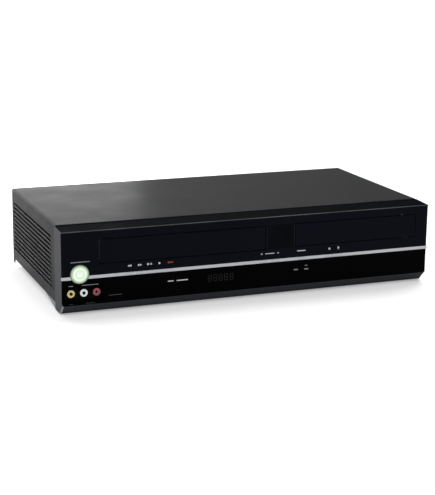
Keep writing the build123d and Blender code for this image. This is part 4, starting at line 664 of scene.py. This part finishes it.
def dot(x, z, radius, face):
    bpy.ops.mesh.primitive_cylinder_add(vertices=marks["dotSides"], radius=radius * mm,
                                        depth=marks["proud"] * mm,
                                        location=(x * mm, (face - marks["proud"] / 2) * mm, z * mm),
                                        rotation=(radians(90), 0, 0))
    return softened(added(), marks["dotRounding"])


def ring(x, z, inner, outer, front, back, vertices=32):   # a washer about the Y axis
    bpy.ops.mesh.primitive_cylinder_add(vertices=vertices, radius=outer * mm, depth=(back - front) * mm,
                                        location=(x * mm, (front + back) / 2 * mm, z * mm),
                                        rotation=(radians(90), 0, 0))
    piece = added()
    editing(piece, "FACE", lambda part: len(part.vertices) > 4)
    bpy.ops.mesh.inset(thickness=(outer - inner) * mm)
    bpy.ops.mesh.bridge_edge_loops()
    doneEditing()
    return piece


keyX = {name: centre(name + "_key").x for name in
        ("rewind", "fast_forward", "stop_eject", "play", "record", "channel_down", "channel_up", "source",
         "disc_stop", "disc_open")}
channelX = (keyX["channel_down"] + keyX["channel_up"]) / 2
audioX = (white.x + red.x) / 2
row, size, pair, apart = (marks[key] for key in ("row", "arrow", "pair", "apart"))
square, discSquare, small = marks["square"], marks["discSquare"], marks["arrow"] * marks["small"]
whiteMarks = [
    arrow(keyX["rewind"] - pair, row, size, 180, face), arrow(keyX["rewind"] + pair, row, size, 180, face),
    arrow(keyX["fast_forward"] - pair, row, size, 0, face),
    arrow(keyX["fast_forward"] + pair, row, size, 0, face),
    bar(keyX["stop_eject"] - apart, row, square, square, face),
    arrow(keyX["stop_eject"] + apart, row, size, 90, face),
    arrow(keyX["play"], row, size * marks["large"], 0, face),
    bar(keyX["disc_stop"], row - marks["discDrop"], discSquare, discSquare, face),
    arrow(keyX["disc_open"], row + marks["discRise"], size, 90, face),
    bar(keyX["disc_open"], row - marks["trayLineDrop"], marks["trayLine"], marks["line"], face),
    arrow(keyX["channel_down"] - apart, row, small, 180, face),
    bar(channelX + marks["channelAside"], row, *words["channel"], face),
    arrow(keyX["channel_up"] + marks["channelUpAside"], row, small, 0, face),
    bar(keyX["source"], row + marks["sourceRise"], *words["source"], face),
    *[bar(*caption, glass) for caption in captions["white"]],
]
dressed(joined("white_marks", whiteMarks), whiteInk, "casing")
redMarks = [
    dot(keyX["record"] - marks["dotAside"], row, marks["dotRadius"], face),
    bar(keyX["record"] + apart, row, *words["record"], face),
]
dressed(joined("red_marks", redMarks), redInk, "casing")
greyMarks = [
    bar(button.x + marks["powerAside"], marks["overPower"], *words["power"], face),
    bar(yellow.x, marks["overSockets"], *words["video"], glass),
    bar(audioX, marks["overSockets"], *words["audio"], glass),
    *[bar(*caption, glass) for caption in captions["grey"]],
]
dressed(joined("grey_marks", greyMarks), greyInk, "casing")
faintMarks = [
    bar(yellow.x, marks["underSockets"], *words["videoLow"], glass),
    bar(audioX, marks["underSockets"], *words["audioLow"], glass),
    *[bar(*caption, glass) for caption in captions["faint"]],
]
dressed(joined("faint_marks", faintMarks), faintInk, "casing")
print("marks: white, red, grey, faint")


# the unlit display figures, as faint bars on the window, because its material isn't clear
digit = {"width": 3.6, "height": 7.0, "line": 0.7, "pitch": 6.4, "left": -51.5, "middle": 28.4, "count": 5}


def figure(x):                           # seven bars
    across, up, line = digit["width"] / 2, digit["height"] / 2, digit["line"]
    level = digit["middle"]
    bars = [bar(x, level + k * up, digit["width"] - line, line, glass) for k in (-1, 0, 1)]
    bars += [bar(x + i * across, level + k * up / 2, line, up - line, glass)
             for i in (-1, 1) for k in (-1, 1)]
    return joined("figure", bars)


first = figure(digit["left"])
figures = [first] + [copied(first, x=digit["pitch"] * i) for i in range(1, digit["count"])]
dressed(joined("display_figures", figures), unlitInk, "casing")

# the plate between the door and the tray, on the fascia
plate = {"gap": 0.9, "proud": 0.16, "depth": 0.4, "below": 0.6, "above": 0.2, "rounding": 0.14,
         "border": 0.35, "borderHigh": 24.0, "borderInset": 1.6}
pinReach = 4.0                           # the door's hinge pins stand this far past its panel
plateMaterial = material("centrePlate", {"Specular IOR Level": 0.03},
                         plasticPattern((0.0008, 0.0010, 0.0022), (0.0014, 0.0018, 0.0036), 0.10))
doorEnd = doorHigh.x - pinReach
centrePlate = block((doorEnd + plate["gap"], face - plate["proud"], trayLow.z - plate["below"]),
                    (trayLow.x - plate["gap"], face + plate["depth"], trayHigh.z + plate["above"]),
                    plate["rounding"])
dressed(joined("centre_plate", [centrePlate]), plateMaterial, "casing")
# two thin lines, lighter than the plate, near its ends
borders = [bar(x, (trayLow.z + trayHigh.z) / 2, plate["border"], plate["borderHigh"],
               face - plate["proud"])
           for x in (doorEnd + plate["borderInset"], trayLow.x - plate["borderInset"])]
dressed(joined("plate_borders", borders), plateLineColour, "casing")

# the folded front hem of the cover's sides, in a paint lighter than the cover's, as a painted highlight
hem = {"proud": 0.3, "bite": 0.3, "width": 1.0, "gap": 0.5, "low": 9.4, "underTop": 2.2, "rounding": 0.12}
hemHighlightMaterial = material("hemHighlightPaint", {"Specular IOR Level": 0.10},
                       plasticPattern((0.034, 0.035, 0.038), (0.022, 0.023, 0.026), 0.45, 1500.0, 0.04))
hems = []
for side in (-1, 1):
    outer = sorted((side * (coverHigh.x - hem["bite"]), side * (coverHigh.x + hem["proud"])))
    hems.append(block((outer[0], coverLow.y + hem["gap"], hem["low"]),
                      (outer[1], coverLow.y + hem["gap"] + hem["width"], coverHigh.z - hem["underTop"]),
                      hem["rounding"]))
dressed(joined("cover_hems", hems), hemHighlightMaterial, "casing")

# a flared lip along the lower edge of every louvre, in the same lighter paint, as a painted highlight
lip = {"proud": 0.42, "bite": 0.4, "height": 0.5, "inset": 1.2, "gap": 0.05, "rounding": 0.18}
lips = []
lipStart = louvres["front"] + lip["inset"]
lipEnd = louvres["front"] + louvres["length"] - lip["inset"]
for side in (-1, 1):
    outer = sorted((side * (coverHigh.x - lip["bite"]), side * (coverHigh.x + lip["proud"])))
    level = louvres["low"] - lip["height"] - lip["gap"]
    firstLip = block((outer[0], lipStart, level), (outer[1], lipEnd, level + lip["height"]),
                     lip["rounding"], 1)
    lips.append(firstLip)
    for column in range(louvres["columns"]):
        for line in range(louvres["rows"]):
            if column or line:
                lips.append(copied(firstLip, y=column * (louvres["length"] + louvres["bridge"]),
                                   z=line * louvres["pitch"]))
dressed(joined("louvre_lips", lips), hemHighlightMaterial, "casing")
print("display, plate, hems and", len(lips), "louvre lips")

# contact sleeves in the front sockets, and washers round the rear ones
nickel = material("nickel", {"Metallic": 1.0},
                  metalPattern((0.60, 0.59, 0.55), (0.48, 0.47, 0.44), 0.30))
sleeve = {"inner": 1.45, "outer": 1.68, "front": 0.6, "back": 5.0}
sleeves = [ring(place.x, place.z, sleeve["inner"], sleeve["outer"],
                jacks["face"] + sleeve["front"], jacks["face"] + sleeve["back"]) for place in jackPlaces]
dressed(joined("front_sleeves", sleeves), nickel, "casing")
panelBack = span("rear_panel")[1].y
washer = {"inner": 4.2, "outer": 5.7, "thickness": 0.6}
firstWasher = ring(sockets["left"], sockets["low"], washer["inner"], washer["outer"], panelBack,
                   panelBack + washer["thickness"])
columns, rows = range(len(sockets["colours"])), range(sockets["rows"])
washers = [firstWasher] + [copied(firstWasher, x=sockets["pitch"] * i, z=sockets["rowPitch"] * j)
                           for i in columns for j in rows if i or j]
dressed(joined("rear_washers", washers), finishes["black_plastic"], "casing")
nut = {"inner": 4.8, "outer": 6.6, "thickness": 1.6, "sides": 6}
aerialNuts = [ring(aerial["x"], aerial["low"] + i * aerial["pitch"], nut["inner"], nut["outer"],
                   panelBack, panelBack + nut["thickness"], nut["sides"]) for i in range(aerial["count"])]
dressed(joined("aerial_nuts", aerialNuts), nickel, "casing")
print("socket sleeves, washers and nuts")


# camera, light and floor

view = {"place": (-0.55243, -1.41878, 0.41466), "aim": (0.01261, 0.02624, 0.02400), "roll": 0.6375,
        "lens": 96.46, "sensor": 36.0}
light = {"ambient": 0.32, "sky": 0.2, "box": (-0.34, 0.93, 0.14), "boxWide": 0.60, "boxCore": 0.95,
         "boxGlow": 0.9, "sunPower": 2.7, "sunFrom": (0.55, 0.75, 1.3), "sunAngle": 50.0,
         "fillPlace": (-1.1, -1.5, 1.5), "fillSize": 1.6, "fillPower": 26.0,
         "rearPlace": (-0.9, 1.5, 1.1), "rearSize": 1.2, "rearPower": 12.0,
         "panelPlace": (-0.15, 0.62, 0.13), "panelWide": 0.5, "panelHigh": 0.2, "panelPower": 1.35,
         "sunAim": (0.0, 0.0, 0.0), "lampAim": (0.0, 0.0, 0.05),
         "floorSize": 40.0, "floorColour": (0.80, 0.80, 0.80), "floorGlow": 0.30}


def turnedTo(thing, aim, roll=0.0):
    direction = Vector(aim) - thing.location
    thing.rotation_euler = (direction.to_track_quat("-Z", "Y").to_matrix()
                            @ Matrix.Rotation(radians(roll), 3, "Z")).to_euler()


bpy.ops.object.camera_add(location=view["place"])
camera = bpy.context.object
camera.name = "camera"
camera.data.lens = view["lens"]
camera.data.sensor_width = view["sensor"]
turnedTo(camera, view["aim"], view["roll"])
bpy.context.scene.camera = camera

bpy.ops.object.light_add(type="SUN", location=light["sunFrom"])
bpy.context.object.data.energy = light["sunPower"]
bpy.context.object.data.angle = radians(light["sunAngle"])
turnedTo(bpy.context.object, light["sunAim"])
for name in ("fill", "rear"):
    bpy.ops.object.light_add(type="AREA", location=light[name + "Place"])
    bpy.context.object.data.energy = light[name + "Power"]
    bpy.context.object.data.size = light[name + "Size"]
    turnedTo(bpy.context.object, light["lampAim"])

# a low panel close behind on the left, which the top of the cover mirrors
bpy.ops.object.light_add(type="AREA", location=light["panelPlace"])
panel = bpy.context.object
panel.data.shape = "RECTANGLE"
panel.data.size = light["panelWide"]
panel.data.size_y = light["panelHigh"]
panel.data.energy = light["panelPower"]
panel.visible_camera = False
turnedTo(panel, (light["panelPlace"][0], 0.0, light["panelPlace"][2]))


def rays(tree):                          # what the camera sees, and what a reflection or glass shows
    paths = tree.nodes.new("ShaderNodeLightPath").outputs
    camera, glossy, through = (Wire(tree, paths[name]) for name in
                               ("Is Camera Ray", "Is Glossy Ray", "Is Transmission Ray"))
    return camera, camera.maths("MAXIMUM", glossy, through)


# a white room, with a wide soft box behind on the left for the gloss
world = bpy.data.worlds.new("studio")
world.use_nodes = True
background = world.node_tree.nodes["Background"]
background.inputs["Color"].default_value = (1.0, 1.0, 1.0, 1.0)
direct, mirrored = rays(world.node_tree)
towards = direct.node("ShaderNodeTexCoord")
box = direct.node("ShaderNodeVectorMath", {"operation": "DOT_PRODUCT"},
                  {0: towards, 1: Vector(light["box"]).normalized()}, 1)
sky = ease(box, light["boxWide"], light["boxCore"], light["sky"], light["sky"] + light["boxGlow"])
strength = direct + (1 - direct) * (mirrored * sky + (1 - mirrored) * light["ambient"])
world.node_tree.links.new(strength.socket, background.inputs["Strength"])
bpy.context.scene.world = world

floorMaterial = material("paleFloor", {"Base Color": light["floorColour"], "Roughness": 0.9,
                                       "Specular IOR Level": 0.0, "Emission Color": (1.0, 1.0, 1.0)})
floorShader = floorMaterial.node_tree.nodes["Principled BSDF"]
glow = rays(floorMaterial.node_tree)[0] * light["floorGlow"]
floorMaterial.node_tree.links.new(glow.socket, floorShader.inputs["Emission Strength"])
bpy.ops.mesh.primitive_plane_add(size=light["floorSize"])
paleFloor = bpy.context.object
paleFloor.name = "pale_floor"
paleFloor.data.materials.append(floorMaterial)

bpy.context.scene.view_settings.view_transform = "Standard"
print("camera, light and floor: ready")
